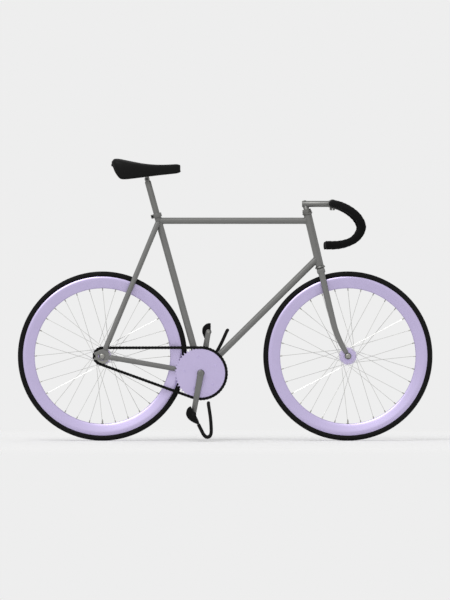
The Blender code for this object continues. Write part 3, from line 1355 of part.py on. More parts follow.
def make_handlebar():
    """Make the drop handlebar and its tape, which is closed by a plug at each end."""
    radius = BAR_DIAMETER / 2
    clamp = BAR_CLAMP_DIAMETER / 2
    right = bar_knots(-1)
    left = bar_knots(1)
    bulge = BAR_BULGE_HALF_LENGTH
    taper_end = bulge + BAR_BULGE_TAPER
    across = [BAR_CENTRE + ACROSS * y for y in (taper_end, bulge, -bulge, -taper_end)]
    path = left[::-1] + across + right
    radii = [radius] * (len(left) + 1) + [clamp, clamp] + [radius] * (len(right) + 1)
    bar = wire("handlebar", path, radii, "black_steel", BAR_SIDES)
    ends = (path[0] * 2 - path[1], path[-1] * 2 - path[-2])
    inner_path = [ends[0]] + path[1:-1] + [ends[1]]
    cut(bar, wire("handlebar_bore", inner_path, [radius - BAR_WALL] * len(path), sides=BORE_SIDES))

    plug_gap = [(ends[0] - path[0]).normalized() * GAP, (ends[1] - path[-1]).normalized() * GAP]
    clearance_path = [path[0] + plug_gap[0]] + path[1:-1] + [path[-1] + plug_gap[1]]
    clearance = wire("bar_clearance", clearance_path, [r + GAP for r in radii], sides=BAR_SIDES)
    for label, points in (("left", left), ("right", right)):
        outward = (points[-1] - points[-2]).normalized()
        outside = points[:-1] + [points[-1] + outward * (GAP + BAR_PLUG_THICKNESS)]
        tape = wire(
            "bar_tape_" + label, outside, [radius + TAPE_THICKNESS] * len(outside), "black_tape",
            BAR_SIDES)
        cut(tape, clearance)


# Seatpost and saddle

SADDLE_PIVOT = CLUSTER + SEAT_UP * SADDLE_PIVOT_FROM_CLUSTER
RAIL_MIDDLE = SADDLE_PIVOT + at(0.0, RAIL_ABOVE_PIVOT)
SADDLE_REAR = RAIL_MIDDLE - at(SADDLE_CLAMP_FROM_REAR, 0.0)


def make_seatpost():
    """Make the seatpost, with the round head that the saddle clamp tilts on."""
    foot = SEAT_TUBE_TOP - SEAT_UP * SEATPOST_INSERTION
    top = SADDLE_PIVOT - SEAT_UP * SEATPOST_TOP_BELOW_PIVOT
    post = rod("seatpost", foot, top, SEATPOST_DIAMETER / 2, "grey_alloy")
    half = ACROSS * SEATPOST_HEAD_WIDTH / 2
    head = rod(
        "seatpost_head", SADDLE_PIVOT - half, SADDLE_PIVOT + half, SEATPOST_HEAD_DIAMETER / 2)
    bolt = rod(
        "seatpost_bolt_hole", SADDLE_PIVOT - 2 * half, SADDLE_PIVOT + 2 * half,
        SADDLE_BOLT_DIAMETER / 2 + RUNNING_GAP, sides=ROD_SIDES)
    bore = rod(
        "seatpost_bore", foot - SEAT_UP * OVERRUN,
        SADDLE_PIVOT - SEAT_UP * SEATPOST_SOLID_BELOW_PIVOT, SEATPOST_BORE_DIAMETER / 2)
    cut(add(post, head), bolt, bore)


def make_saddle_clamp():
    """Make the clamp that holds both rails, with its ears and cross bolt round the post's head."""
    rail = RAIL_DIAMETER / 2 + GAP
    width = 2 * (RAIL_SPREAD + RAIL_DIAMETER)
    clamp = box(
        "saddle_clamp", RAIL_MIDDLE, (SADDLE_CLAMP_LENGTH, width, SADDLE_CLAMP_HEIGHT),
        "grey_alloy")
    rounded(clamp, SADDLE_CLAMP_EDGE_RADIUS)
    ear_middle = SEATPOST_HEAD_WIDTH / 2 + RUNNING_GAP + SADDLE_EAR_THICKNESS / 2
    ear = link_outline(
        SADDLE_PIVOT, SADDLE_EAR_PIVOT_RADIUS, RAIL_MIDDLE, SADDLE_EAR_TOP_RADIUS)
    for label, side in (("left", 1), ("right", -1)):
        add(clamp, flat(
            "saddle_clamp_ear_" + label, [ear], SADDLE_EAR_THICKNESS, side * ear_middle))
    bolt = ACROSS * ear_middle
    add(clamp, rod(
        "saddle_bolt", SADDLE_PIVOT - bolt, SADDLE_PIVOT + bolt, SADDLE_BOLT_DIAMETER / 2,
        sides=ROD_SIDES))
    reach = at(SADDLE_CLAMP_LENGTH, 0.0)
    for label, side in (("left", 1), ("right", -1)):
        middle = RAIL_MIDDLE + ACROSS * side * RAIL_SPREAD
        cut(clamp, rod(
            "rail_hole_" + label, middle - reach, middle + reach, rail, sides=ROD_SIDES))


def rail_path(side):
    """Return one side of the rail, from its rear socket to the middle of the nose."""
    return [
        SADDLE_REAR + Vector((
            SADDLE_LENGTH * along, side * RAIL_SPREAD * out, SADDLE_HEIGHT * up))
        for along, out, up in RAIL_ROUTE]


def saddle_section(share, width_share, top, skirt):
    """Return the ring of points of one section of the saddle, open underneath."""
    x = SADDLE_REAR.x + SADDLE_LENGTH * share
    low = SADDLE_REAR.z + SADDLE_HEIGHT * skirt
    height = SADDLE_HEIGHT * (top - skirt)
    room = height - SADDLE_PAD_THICKNESS
    half_width = (SADDLE_NOSE_WIDTH + (SADDLE_WIDTH - SADDLE_NOSE_WIDTH) * width_share) / 2
    outside = [at(x, low + height * up, half_width * out) for out, up in SADDLE_OUTSIDE]
    inside = [
        at(x, low + room * up, half_width * out - SADDLE_SKIRT_THICKNESS)
        for out, up in SADDLE_INSIDE]
    mirror = Vector((1.0, -1.0, 1.0))
    ring = outside + [at(x, low + height)] + [point * mirror for point in outside[::-1]]
    return ring + [point * mirror for point in inside] + [at(x, low + room)] + inside[::-1]


def make_saddle():
    """Make the saddle as a loft of open sections, and the rails that it sits on."""
    shape = bmesh.new()
    rings = [[shape.verts.new(p) for p in saddle_section(*station)] for station in SADDLE_STATIONS]
    for before, after in zip(rings, rings[1:]):
        for i, corner in enumerate(before):
            shape.faces.new((before[i - 1], corner, after[i], after[i - 1]))
    shape.faces.new(rings[0])
    shape.faces.new(rings[-1][::-1])
    bmesh.ops.recalc_face_normals(shape, faces=shape.faces)
    saddle = from_bmesh("saddle", shape, "black_leather")

    nose_end = SADDLE_REAR + at(SADDLE_LENGTH * RAIL_NOSE_SHARE, RAIL_NOSE_HEIGHT)
    path = rail_path(1) + [nose_end] + rail_path(-1)[::-1]
    radius = RAIL_DIAMETER / 2
    wire("saddle_rails", path, [radius] * len(path), "bright_steel", BAR_SIDES)
    ends = [end + (end - inner).normalized() * GAP for end, inner in (path[:2], path[:-3:-1])]
    sockets = [ends[0]] + path[1:-1] + [ends[1]]
    cut(saddle, wire("rail_sockets", sockets, [radius + GAP] * len(path), sides=BAR_SIDES))


# Bodies, each on its joint's axis

JOINTS = {
    "rear_wheel_spin": REAR_AXLE,
    "crank_spin": BRACKET,
    "pedal_right_spin": crank_end(-1),
    "pedal_left_spin": crank_end(1),
    "steering": HEAD_BOTTOM,
    "front_wheel_spin": FRONT_AXLE,
    "stem_height": STEM_TOP,
    "handlebar_tilt": BAR_CENTRE,
    "seatpost_height": SEAT_TUBE_TOP,
    "saddle_tilt": SADDLE_PIVOT,
    "saddle_slide": RAIL_MIDDLE,
}
JOINT_PARENTS = {
    "pedal_right_spin": "crank_spin", "pedal_left_spin": "crank_spin",
    "front_wheel_spin": "steering", "stem_height": "steering", "handlebar_tilt": "stem_height",
    "saddle_tilt": "seatpost_height", "saddle_slide": "saddle_tilt",
}
MOVING_PIECES = {
    "rear_wheel_spin": (
        "rear_tyre", "rear_rim", "rear_hub_shell", "rear_spokes_left", "rear_spokes_right",
        "rear_cog", "rear_lockring"),
    "crank_spin": (
        "bottom_bracket_spindle", "crank_arm_right", "crank_arm_left", "chainring",
        "pedal_spindle_right", "pedal_spindle_left"),
    "pedal_right_spin": ("pedal_right", "toe_clip_right"),
    "pedal_left_spin": ("pedal_left", "toe_clip_left"),
    "steering": (
        "steerer_tube", "fork_crown", "fork_blade_left", "fork_blade_right", "headset_locknut",
        "front_axle", "front_axle_nut_left", "front_axle_nut_right"),
    "front_wheel_spin": (
        "front_tyre", "front_rim", "front_hub_shell", "front_spokes_left", "front_spokes_right"),
    "stem_height": ("stem",),
    "handlebar_tilt": ("handlebar", "bar_tape_left", "bar_tape_right"),
    "seatpost_height": ("seatpost",),
    "saddle_tilt": ("saddle_clamp",),
    "saddle_slide": ("saddle", "saddle_rails"),
}


def hang(child, parent):
    """Parent a child without moving it."""
    child.parent = parent
    child.matrix_parent_inverse = parent.matrix_world.inverted()


def make_joints():
    """Add an empty on each joint's axis and hang the moving pieces on it."""
    empties = {}
    for name, point in JOINTS.items():
        empty = bpy.data.objects.new(name, None)
        empty.empty_display_size = TYRE_WIDTH
        empty.location = point
        PIECES.objects.link(empty)
        empties[name] = empty
    bpy.context.view_layer.update()
    for name, empty in empties.items():
        parent = JOINT_PARENTS.get(name)
        if parent:
            hang(empty, empties[parent])
    bpy.context.view_layer.update()
    for name, pieces in MOVING_PIECES.items():
        for piece in pieces:
            hang(PIECES.objects[piece], empties[name])


def shade():
    """Shade the pieces smooth, with sharp edges kept."""
    for piece in PIECES.objects:
        if piece.type == "MESH":
            piece.data.shade_smooth()
            piece.data.set_sharp_from_angle(angle=SHARP_ANGLE)


def build():
    """Build the whole bicycle."""
    seat_clearance, shell_clearance = make_main_tubes()
    make_rear_triangle(seat_clearance, shell_clearance)
    make_seat_clamp()
    make_headset()
    make_fork()
    make_wheel(
        "rear", REAR_AXLE, REAR_FLANGE_SPREAD, REAR_SPACING, TRACK_END_THICKNESS,
        REAR_AXLE_DIAMETER, REAR_HUB_RIGHT_END)
    make_wheel(
        "front", FRONT_AXLE, FRONT_FLANGE_SPREAD, FRONT_SPACING, FORK_END_THICKNESS,
        FRONT_AXLE_DIAMETER)
    make_chain()
    make_sprockets()
    make_bottom_bracket()
    make_cranks()
    make_pedal("right", -1, RIGHT_TOE_DOWN)
    make_pedal("left", 1, LEFT_TOE_DOWN)
    make_stem()
    make_handlebar()
    make_seatpost()
    make_saddle_clamp()
    make_saddle()
    make_joints()
    shade()


build()
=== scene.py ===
"""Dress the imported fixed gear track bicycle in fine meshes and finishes, and set its studio.

Units are metres. +X is forwards, +Y is the rider's left and +Z is up. The chain is at -Y.
"""

import json
import logging
import math
from dataclasses import dataclass, replace
from enum import Enum
from typing import Any, Iterable, Sequence

import bmesh
import bpy
from mathutils import Matrix, Vector

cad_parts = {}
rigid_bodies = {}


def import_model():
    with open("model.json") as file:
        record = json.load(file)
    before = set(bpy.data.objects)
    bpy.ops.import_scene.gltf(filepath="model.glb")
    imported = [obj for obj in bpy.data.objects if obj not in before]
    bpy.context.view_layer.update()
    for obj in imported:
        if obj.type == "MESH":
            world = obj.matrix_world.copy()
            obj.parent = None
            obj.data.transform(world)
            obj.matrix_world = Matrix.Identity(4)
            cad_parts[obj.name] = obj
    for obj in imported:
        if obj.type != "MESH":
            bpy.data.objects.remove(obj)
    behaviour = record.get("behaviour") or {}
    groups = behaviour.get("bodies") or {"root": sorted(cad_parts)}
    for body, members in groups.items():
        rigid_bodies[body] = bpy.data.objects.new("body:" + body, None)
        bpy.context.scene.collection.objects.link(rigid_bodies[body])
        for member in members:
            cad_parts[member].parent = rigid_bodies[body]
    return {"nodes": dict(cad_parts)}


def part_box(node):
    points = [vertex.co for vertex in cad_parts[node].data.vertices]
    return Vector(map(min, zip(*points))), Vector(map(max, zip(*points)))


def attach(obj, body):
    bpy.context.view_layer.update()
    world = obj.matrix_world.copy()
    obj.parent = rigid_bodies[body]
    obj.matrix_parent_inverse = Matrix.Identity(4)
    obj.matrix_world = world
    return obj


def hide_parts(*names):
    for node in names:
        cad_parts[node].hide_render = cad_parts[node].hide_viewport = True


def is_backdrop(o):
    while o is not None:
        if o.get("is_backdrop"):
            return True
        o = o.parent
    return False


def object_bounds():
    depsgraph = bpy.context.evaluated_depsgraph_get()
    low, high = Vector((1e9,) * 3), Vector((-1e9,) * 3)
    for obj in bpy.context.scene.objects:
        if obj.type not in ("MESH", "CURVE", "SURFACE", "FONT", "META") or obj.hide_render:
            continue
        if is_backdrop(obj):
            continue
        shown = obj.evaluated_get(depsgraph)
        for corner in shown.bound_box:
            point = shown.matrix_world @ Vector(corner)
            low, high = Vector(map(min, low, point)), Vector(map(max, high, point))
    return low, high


LOG = logging.getLogger("bicycle")

for leftover in list(bpy.data.objects):
    bpy.data.objects.remove(leftover)
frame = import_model()
CAD_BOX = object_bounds()

Profile = Sequence[tuple[float, float]]
Outline = list[tuple[float, float]]
FORWARD = Vector((1.0, 0.0, 0.0))
ACROSS = Vector((0.0, 1.0, 0.0))
UP = Vector((0.0, 0.0, 1.0))
MIRROR = Vector((1.0, -1.0, 1.0))
MERGE_DISTANCE = 0.000005
GAP = 0.0003
RUNNING_GAP = 0.0008
STAY_DOME = ((0.5, 0.87), (0.8, 0.6), (0.97, 0.24))
BLADE_DOME = ((0.4, 0.92), (0.7, 0.71), (0.9, 0.44))
NUT_SLOPE = 1.6
SOCKET_FLOOR = 0.35
SOCKET_EDGE = 0.12
SOCKET_BORE = 0.55
DRIFT_RANGE = (0.3, 0.7)


class Side(Enum):
    """The two sides of the bicycle, by the sign of Y."""

    LEFT = 1
    RIGHT = -1

    @property
    def label(self) -> str:
        """Return the word that ends the names of this side's pieces."""
        return self.name.lower()


def at(x: float, z: float, y: float = 0.0) -> Vector:
    """Return the point at x forwards, z up and y to the left."""
    return Vector((x, y, z))


def flat(point: Vector) -> tuple[float, float]:
    """Return a point's pair of x and z in the side view."""
    return point.x, point.z


def around(centre: Vector, radius: float, angle: float) -> Vector:
    """Return the point at an angle on a circle that stands in the side view."""
    return centre + at(math.cos(angle), math.sin(angle)) * radius


def axes(x: Vector, y: Vector, z: Vector) -> Matrix:
    """Return the turn that puts the local axes along three directions."""
    return Matrix((x, y, z)).transposed().to_4x4()


def toward(start: Vector, direction: Vector) -> Matrix:
    """Return the place that puts local Z along a direction, with its origin at start."""
    turn = UP.rotation_difference(direction)
    return Matrix.Translation(start) @ turn.to_matrix().to_4x4()


def side_view(y: float) -> Matrix:
    """Return the place that stands a flat local shape upright in the side view, at y."""
    return Matrix.Translation((0.0, y, 0.0)) @ Matrix.Rotation(math.pi / 2, 4, "X")


def arc(centre: tuple[float, float], radius: float, start: float, end: float,
        count: int) -> Outline:
    """Return pairs on an arc.

    Args:
        centre: The arc's centre.
        radius: The arc's radius.
        start: The first point's angle.
        end: The last point's angle.
        count: How many points it has, with both ends.

    Returns:
        The points as pairs.
    """
    angles = [start + (end - start) * i / (count - 1) for i in range(count)]
    return [(centre[0] + radius * math.cos(a), centre[1] + radius * math.sin(a)) for a in angles]


def circle(radius: float, count: int, centre: tuple[float, float] = (0.0, 0.0)) -> Outline:
    """Return the corners of a regular polygon."""
    return arc(centre, radius, 0.0, math.tau * (1 - 1 / count), count)


def link_outline(first: Vector, first_radius: float, second: Vector, second_radius: float,
                 count: int = 14) -> Outline:
    """Return the side view outline of a bar with two round ends.

    Args:
        first: The middle of the first end.
        first_radius: The radius of the first end.
        second: The middle of the second end.
        second_radius: The radius of the second end.
        count: How many points each round end has.

    Returns:
        Its outline as pairs of x and z.
    """
    line = second - first
    angle = math.atan2(line.z, line.x)
    splay = math.acos((first_radius - second_radius) / line.length)
    return (
        arc(flat(first), first_radius, angle + splay, angle - splay + math.tau, count)
        + arc(flat(second), second_radius, angle - splay, angle + splay, count))


def rounded(corners: Profile, times: int) -> Outline:
    """Return a closed outline with its corners cut off that many times over."""
    for _ in range(times):
        corners = [
            (a[0] + (b[0] - a[0]) * share, a[1] + (b[1] - a[1]) * share)
            for a, b in zip(corners, [*corners[1:], corners[0]]) for share in (0.2, 0.8)]
    return list(corners)


def mirrored(half: Profile) -> Outline:
    """Return half a section as it is on the other side of the middle."""
    return [(radius, -height) for radius, height in half]


def moved(curve: Profile, radius: float, height: float = 0.0) -> Outline:
    """Return a curve of a section moved out by a radius and along by a height."""
    return [(radius + out, height + along) for out, along in curve]


def chamfered(radius: float, height: float, cut: float) -> Outline:
    """Return a section's corner cut off, from its end face to its side.

    Args:
        radius: The radius of the side.
        height: The height of the end face.
        cut: The size of the chamfer, below 0 where the end face is the lower one.

    Returns:
        The chamfer's two points.
    """
    return [(radius - abs(cut), height), (radius, height - cut)]


def tilted(point: Vector, angle: float) -> Matrix:
    """Return the place at a point, tilted forwards by an angle."""
    return Matrix.Translation(point) @ Matrix.Rotation(angle, 4, "Y")


def domed(path: list[Vector], radii: list[float],
          dome: Profile) -> tuple[list[Vector], list[float]]:
    """Round off the end of a tube.

    Args:
        path: The tube's middle line, up to where its end begins.
        radii: Its radius at each of those points.
        dome: The reach and the radius of each ring, as shares of the last radius.

    Returns:
        The longer line and its radii.
    """
    last, out = radii[-1], (path[-1] - path[-2]).normalized()
    return (path + [path[-1] + out * last * reach for reach, _ in dome],
            radii + [last * share for _, share in dome])


def smooth_path(knots: Sequence[Vector], steps: int) -> list[Vector]:
    """Return points on a smooth curve through the knots.

    Args:
        knots: The points that the curve goes through.
        steps: How many stretches lie between two knots.

    Returns:
        The points, with both ends.
    """
    ends = [2 * knots[0] - knots[1], *knots, 2 * knots[-1] - knots[-2]]
    points = []
    for before, first, second, after in zip(ends, ends[1:], ends[2:], ends[3:]):
        for step in range(steps):
            t = step / steps
            points.append(0.5 * (
                2 * first + (second - before) * t
                + (2 * before - 5 * first + 4 * second - after) * t ** 2
                + (3 * first - before - 3 * second + after) * t ** 3))
    return points + [knots[-1].copy()]


def spread(start: float, end: float, count: int) -> list[float]:
    """Return count numbers that change evenly from start to end."""
    return [start + (end - start) * i / (count - 1) for i in range(count)]


def evenly(path: Sequence[Vector], spacing: float) -> list[Vector]:
    """Return points along a path, all about one spacing apart.

    Args:
        path: The points of the path.
        spacing: The wanted distance between points.

    Returns:
        The new points, with both ends.
    """
    lengths = [(b - a).length for a, b in zip(path, path[1:])]
    count = max(2, round(sum(lengths) / spacing))
    wanted = sum(lengths) / count
    points, gone, i = [path[0].copy()], 0.0, 0
    for step in range(1, count):
        while gone + lengths[i] < step * wanted:
            gone += lengths[i]
            i += 1
        points.append(path[i].lerp(path[i + 1], (step * wanted - gone) / lengths[i]))
    return points + [path[-1].copy()]


def frames_along(path: Sequence[Vector], up: Vector | None = None,
                 closed: bool = False) -> list[Matrix]:
    """Return a place at each point of a path, with local Z along the path.

    Args:
        path: The points of the path.
        up: A direction that local Y stays near to, or None to carry it along without twist.
        closed: Whether the last point is the first one again.

    Returns:
        One matrix for each point.
    """
    count = len(path)
    frames, side = [], None
    for i, here in enumerate(path):
        before = path[i - 1] if i else (path[-2] if closed else here)
        after = path[i + 1] if i < count - 1 else (path[1] if closed else here)
        along = (after - before).normalized()
        if up is not None:
            side = up.cross(along).normalized()
        elif side is None:
            side = along.orthogonal().normalized()
        else:
            side = (side - along * side.dot(along)).normalized()
        frames.append(Matrix.Translation(here) @ axes(side, along.cross(side), along))
    return frames


def new_object(name: str, data: bpy.types.ID) -> bpy.types.Object:
    """Return a new object in the scene that shows a mesh, a lamp or a camera."""
    made = bpy.data.objects.new(name, data)
    bpy.context.scene.collection.objects.link(made)
    return made


def empty_tree(owner: bpy.types.Material | bpy.types.World) -> bpy.types.NodeTree:
    """Return the node tree of a material or a world, with nothing in it."""
    owner.use_nodes = True
    owner.node_tree.nodes.clear()
    return owner.node_tree


@dataclass(frozen=True)
class Bolt:
    """A bolt with a round socket head, and the hexagon nut on its other end."""

    head_radius: float
    head_height: float
    nut_radius: float
    nut_hole: float
    nut_height: float
    nut_chamfer: float = 0.0004


class Form:
    """A mesh in the making, put together from parts that bmesh operators shape."""

    def __init__(self) -> None:
        """Start with an empty mesh."""
        self.bm = bmesh.new()

    def take(self, part: bmesh.types.BMesh, place: Matrix = Matrix()) -> "Form":
        """Add a part at its place, and let go of it."""
        bmesh.ops.transform(part, matrix=place, verts=part.verts)
        bmesh.ops.recalc_face_normals(part, faces=part.faces)
        mesh = bpy.data.meshes.new("part")
        part.to_mesh(mesh)
        part.free()
        self.bm.from_mesh(mesh)
        bpy.data.meshes.remove(mesh)
        return self

    def stamp(self, pattern: "Form", places: Iterable[Matrix]) -> "Form":
        """Add a copy of a pattern at each place."""
        for place in places:
            self.take(pattern.bm.copy(), place)
        return self

    def turn(self, profile: Profile, place: Matrix, steps: int, closed: bool = True) -> "Form":
        """Add a turned shape.

        Args:
            profile: Pairs of radius and height.
            place: Where its axis, local Z, and its origin go.
            steps: How many sides it has.
            closed: Whether the profile closes on itself, as a ring's does.

        Returns:
            This form.
        """
        part = bmesh.new()
        verts = [part.verts.new((radius, 0.0, height)) for radius, height in profile]
        pairs = list(zip(verts, verts[1:]))
        if closed:
            pairs.append((verts[-1], verts[0]))
        edges = [part.edges.new(pair) for pair in pairs]
        bmesh.ops.spin(
            part, geom=verts + edges, cent=(0.0, 0.0, 0.0), axis=UP, angle=math.tau,
            steps=steps, use_merge=True)
        bmesh.ops.remove_doubles(part, verts=part.verts, dist=MERGE_DISTANCE)
        return self.take(part, place)

    def rod(self, start: Vector, end: Vector, radius: float, chamfer: float = 0.0,
            steps: int = 24) -> "Form":
        """Add a straight rod, with a chamfer at both ends where one is given."""
        length = (end - start).length
        if chamfer:
            profile = [(0.0, 0.0), *chamfered(radius, 0.0, -chamfer),
                       *chamfered(radius, length, chamfer)[::-1], (0.0, length)]
        else:
            profile = [(0.0, 0.0), (radius, 0.0), (radius, length), (0.0, length)]
        return self.turn(profile, toward(start, end - start), steps, closed=False)

    def sweep(self, path: Sequence[Vector], radii: Sequence[float] | float, sides: int = 24,
              up: Vector | None = None, closed: bool = False, lap: float = 0.0,
              twist: float = 0.0,
              onto: tuple[Sequence["Tube"], Sequence["Tube"]] = ((), ())) -> "Form":
        """Add a tube along a path, closed at its ends unless it is a loop.

        Args:
            path: The points that its middle follows.
            radii: Its radius at each point, or one radius for all.
            sides: How many sides it has.
            up: A direction that its section keeps near, or None to carry it without twist.
            closed: Whether the last point is the first one again.
            lap: How far the section spirals out in a turn, as a share of its radius.
            twist: How far the section turns from one point to the next.
            onto: The tubes that its start and its end are mitred to.

        Returns:
            This form.
        """
        if isinstance(radii, (int, float)):
            radii = [radii] * len(path)
        part = bmesh.new()
        frames = frames_along(path, up, closed)
        places = [
            place @ Matrix.Rotation(twist * i, 4, "Z") @ Matrix.Scale(radius, 4)
            for i, (place, radius) in enumerate(zip(frames, radii))]
        ring = bmesh.ops.create_circle(
            part, cap_ends=False, segments=sides, radius=1.0)["verts"]
        for i, vert in enumerate(ring):
            vert.co *= 1.0 - lap * i / sides
        bmesh.ops.transform(part, matrix=places[0], verts=ring)
        edges = first = list(part.edges)
        start = ring
        for before, after in zip(places, places[1:]):
            made = bmesh.ops.extrude_edge_only(part, edges=edges)["geom"]
            ring = [item for item in made if isinstance(item, bmesh.types.BMVert)]
            inside = set(ring)
            edges = [item for item in made if isinstance(item, bmesh.types.BMEdge)
                     and inside.issuperset(item.verts)]
            bmesh.ops.transform(part, matrix=after @ before.inverted(), verts=ring)
        for mains, verts, along in (
                (onto[0], start, (path[1] - path[0]).normalized()),
                (onto[1], ring, (path[-2] - path[-1]).normalized())):
            for vert in verts if mains else ():
                vert.co += along * max(main.far_side(vert.co, along) for main in mains)
        if closed:
            bmesh.ops.remove_doubles(part, verts=part.verts, dist=MERGE_DISTANCE)
        else:
            bmesh.ops.edgeloop_fill(part, edges=first)
            bmesh.ops.edgeloop_fill(part, edges=edges)
        return self.take(part)

    def plate(self, outline: Profile, thickness: float, place: Matrix, edge: float = 0.0,
              segments: int = 2, holes: Sequence[Profile] = ()) -> "Form":
        """Add a flat plate with rounded edges, in the middle of its place's local XY plane.

        Args:
            outline: Its outer corners.
            thickness: How thick it is.
            place: Where it goes.
            edge: The radius that its edges are rounded to.
            segments: How many facets the rounding has.
            holes: The outlines of its holes.

        Returns:
            This form.
        """
        part = bmesh.new()
        loops = []
        for corners in (outline, *holes):
            verts = [part.verts.new((x, y, -thickness / 2)) for x, y in corners]
            loops += [part.edges.new(pair) for pair in zip(verts, verts[1:] + verts[:1])]
        if holes:
            bmesh.ops.triangle_fill(part, use_beauty=True, edges=loops)
        else:
            bmesh.ops.contextual_create(part, geom=loops)
        raised = bmesh.ops.extrude_face_region(part, geom=list(part.faces))["geom"]
        raised = [item for item in raised if isinstance(item, bmesh.types.BMVert)]
        bmesh.ops.translate(part, vec=UP * thickness, verts=raised)
        bmesh.ops.recalc_face_normals(part, faces=part.faces)
        if edge:
            rims = [
                item for item in part.edges
                if item.verts[0].co.z == item.verts[1].co.z and item.calc_face_angle(0.0) > 1.0]
            bmesh.ops.bevel(
                part, geom=rims, offset=edge, segments=segments, profile=0.5, affect="EDGES",
                material=-1, clamp_overlap=True)
        return self.take(part, place)

    def block(self, size: Sequence[float], place: Matrix, edge: float,
              segments: int = 3) -> "Form":
        """Add a block with all its edges rounded."""
        part = bmesh.new()
        bmesh.ops.create_cube(part, size=1.0)
        bmesh.ops.scale(part, vec=size, verts=part.verts)
        bmesh.ops.bevel(
            part, geom=list(part.edges), offset=edge, segments=segments, profile=0.5,
            affect="EDGES", material=-1, clamp_overlap=True)
        return self.take(part, place)

    def nut(self, face: Vector, axis: Vector, corner: float, hole: float, height: float,
            chamfer: float) -> "Form":
        """Add a hexagon nut that stands on a face along an axis."""
        return self.turn(
            [(corner - NUT_SLOPE * chamfer, height), (corner, height - chamfer), (corner, 0.0),
             (hole, 0.0), (hole, height)], toward(face, axis), 6)

    def socket_bolt(self, face: Vector, axis: Vector, radius: float, height: float) -> "Form":
        """Add a round bolt head with a hexagon socket, standing on a face along an axis."""
        place = toward(face, axis)
        base = height * SOCKET_FLOOR
        self.rod(face, face + axis * base, radius)
        return self.plate(
            circle(radius, 24), height - base, place @ Matrix.Translation(
                (0.0, 0.0, (base + height) / 2)), edge=radius * SOCKET_EDGE,
            holes=[circle(radius * SOCKET_BORE, 6)])

    def cross_bolt(self, middle: Vector, face: Vector, bolt: Bolt) -> "Form":
        """Add a bolt across a joint.

        Args:
            middle: The joint's middle.
            face: The way from there to the face under the head; the nut's is opposite.
            bolt: The bolt's sizes.

        Returns:
            This form.
        """
        axis = face.normalized()
        self.socket_bolt(middle + face, axis, bolt.head_radius, bolt.head_height)
        return self.nut(
            middle - face, -axis, bolt.nut_radius, bolt.nut_hole, bolt.nut_height,
            bolt.nut_chamfer)

    def piece(self, name: str, body: str, finish: "Finish", *nodes: str,
              sharp: float = 35.0) -> bpy.types.Object:
        """Make the form an object that rides on a body.

        Args:
            name: The piece's name.
            body: The CAD body that it moves with.
            finish: What it is finished in.
            nodes: The CAD nodes that it stands for.
            sharp: The angle in degrees from which an edge shows.

        Returns:
            The new object.
        """
        mesh = bpy.data.meshes.new(name)
        self.bm.to_mesh(mesh)
        self.bm.free()
        mesh.shade_smooth()
        mesh.set_sharp_from_angle(angle=math.radians(sharp))
        made = new_object(name, mesh)
        mesh.materials.append(finish.material())
        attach(made, body)
        if nodes:
            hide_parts(*nodes)
        LOG.info("%s: %d faces on %s in %s", name, len(mesh.polygons), body, finish.name)
        return made


def linear(colour: str) -> tuple[float, ...]:
    """Return an sRGB hex colour as linear red, green and blue with an alpha of 1."""
    channels = [int(colour[i:i + 2], 16) / 255 for i in (1, 3, 5)]
    return (*[c / 12.92 if c <= 0.04045 else ((c + 0.055) / 1.055) ** 2.4 for c in channels], 1.0)


def feed(tree: bpy.types.NodeTree, node: bpy.types.Node,
         inputs: dict[int | str, Any]) -> None:
    """Link or set a node's inputs.

    Args:
        tree: The node tree that the node is in.
        node: The node.
        inputs: For each input in use, the socket that feeds it or its own value.
    """
    for key, value in inputs.items():
        if isinstance(value, bpy.types.NodeSocket):
            tree.links.new(value, node.inputs[key])
        else:
            node.inputs[key].default_value = value


def add_node(tree: bpy.types.NodeTree, kind: str, inputs: dict[int | str, Any],
             **settings: Any) -> bpy.types.Node:
    """Add a shader node.

    Args:
        tree: The node tree that it goes into.
        kind: The node's type.
        inputs: For each input in use, the socket that feeds it or its own value.
        settings: The node's own properties.

    Returns:
        The new node.
    """
    node = tree.nodes.new(kind)
    for name, value in settings.items():
        setattr(node, name, value)
    feed(tree, node, inputs)
    return node


class Relief(Enum):
    """The marks that a way of making leaves in a surface."""

    PEEL = "the soft waves of a coating or a moulding"
    BLASTED = "the fine pits of bead blasting or etching"
    TURNED = "rings round an axis along Y, from a lathe"
    RIBBED = "ribs that run round with the tread"
    GRAINED = "the rounded cells of leather or cork"


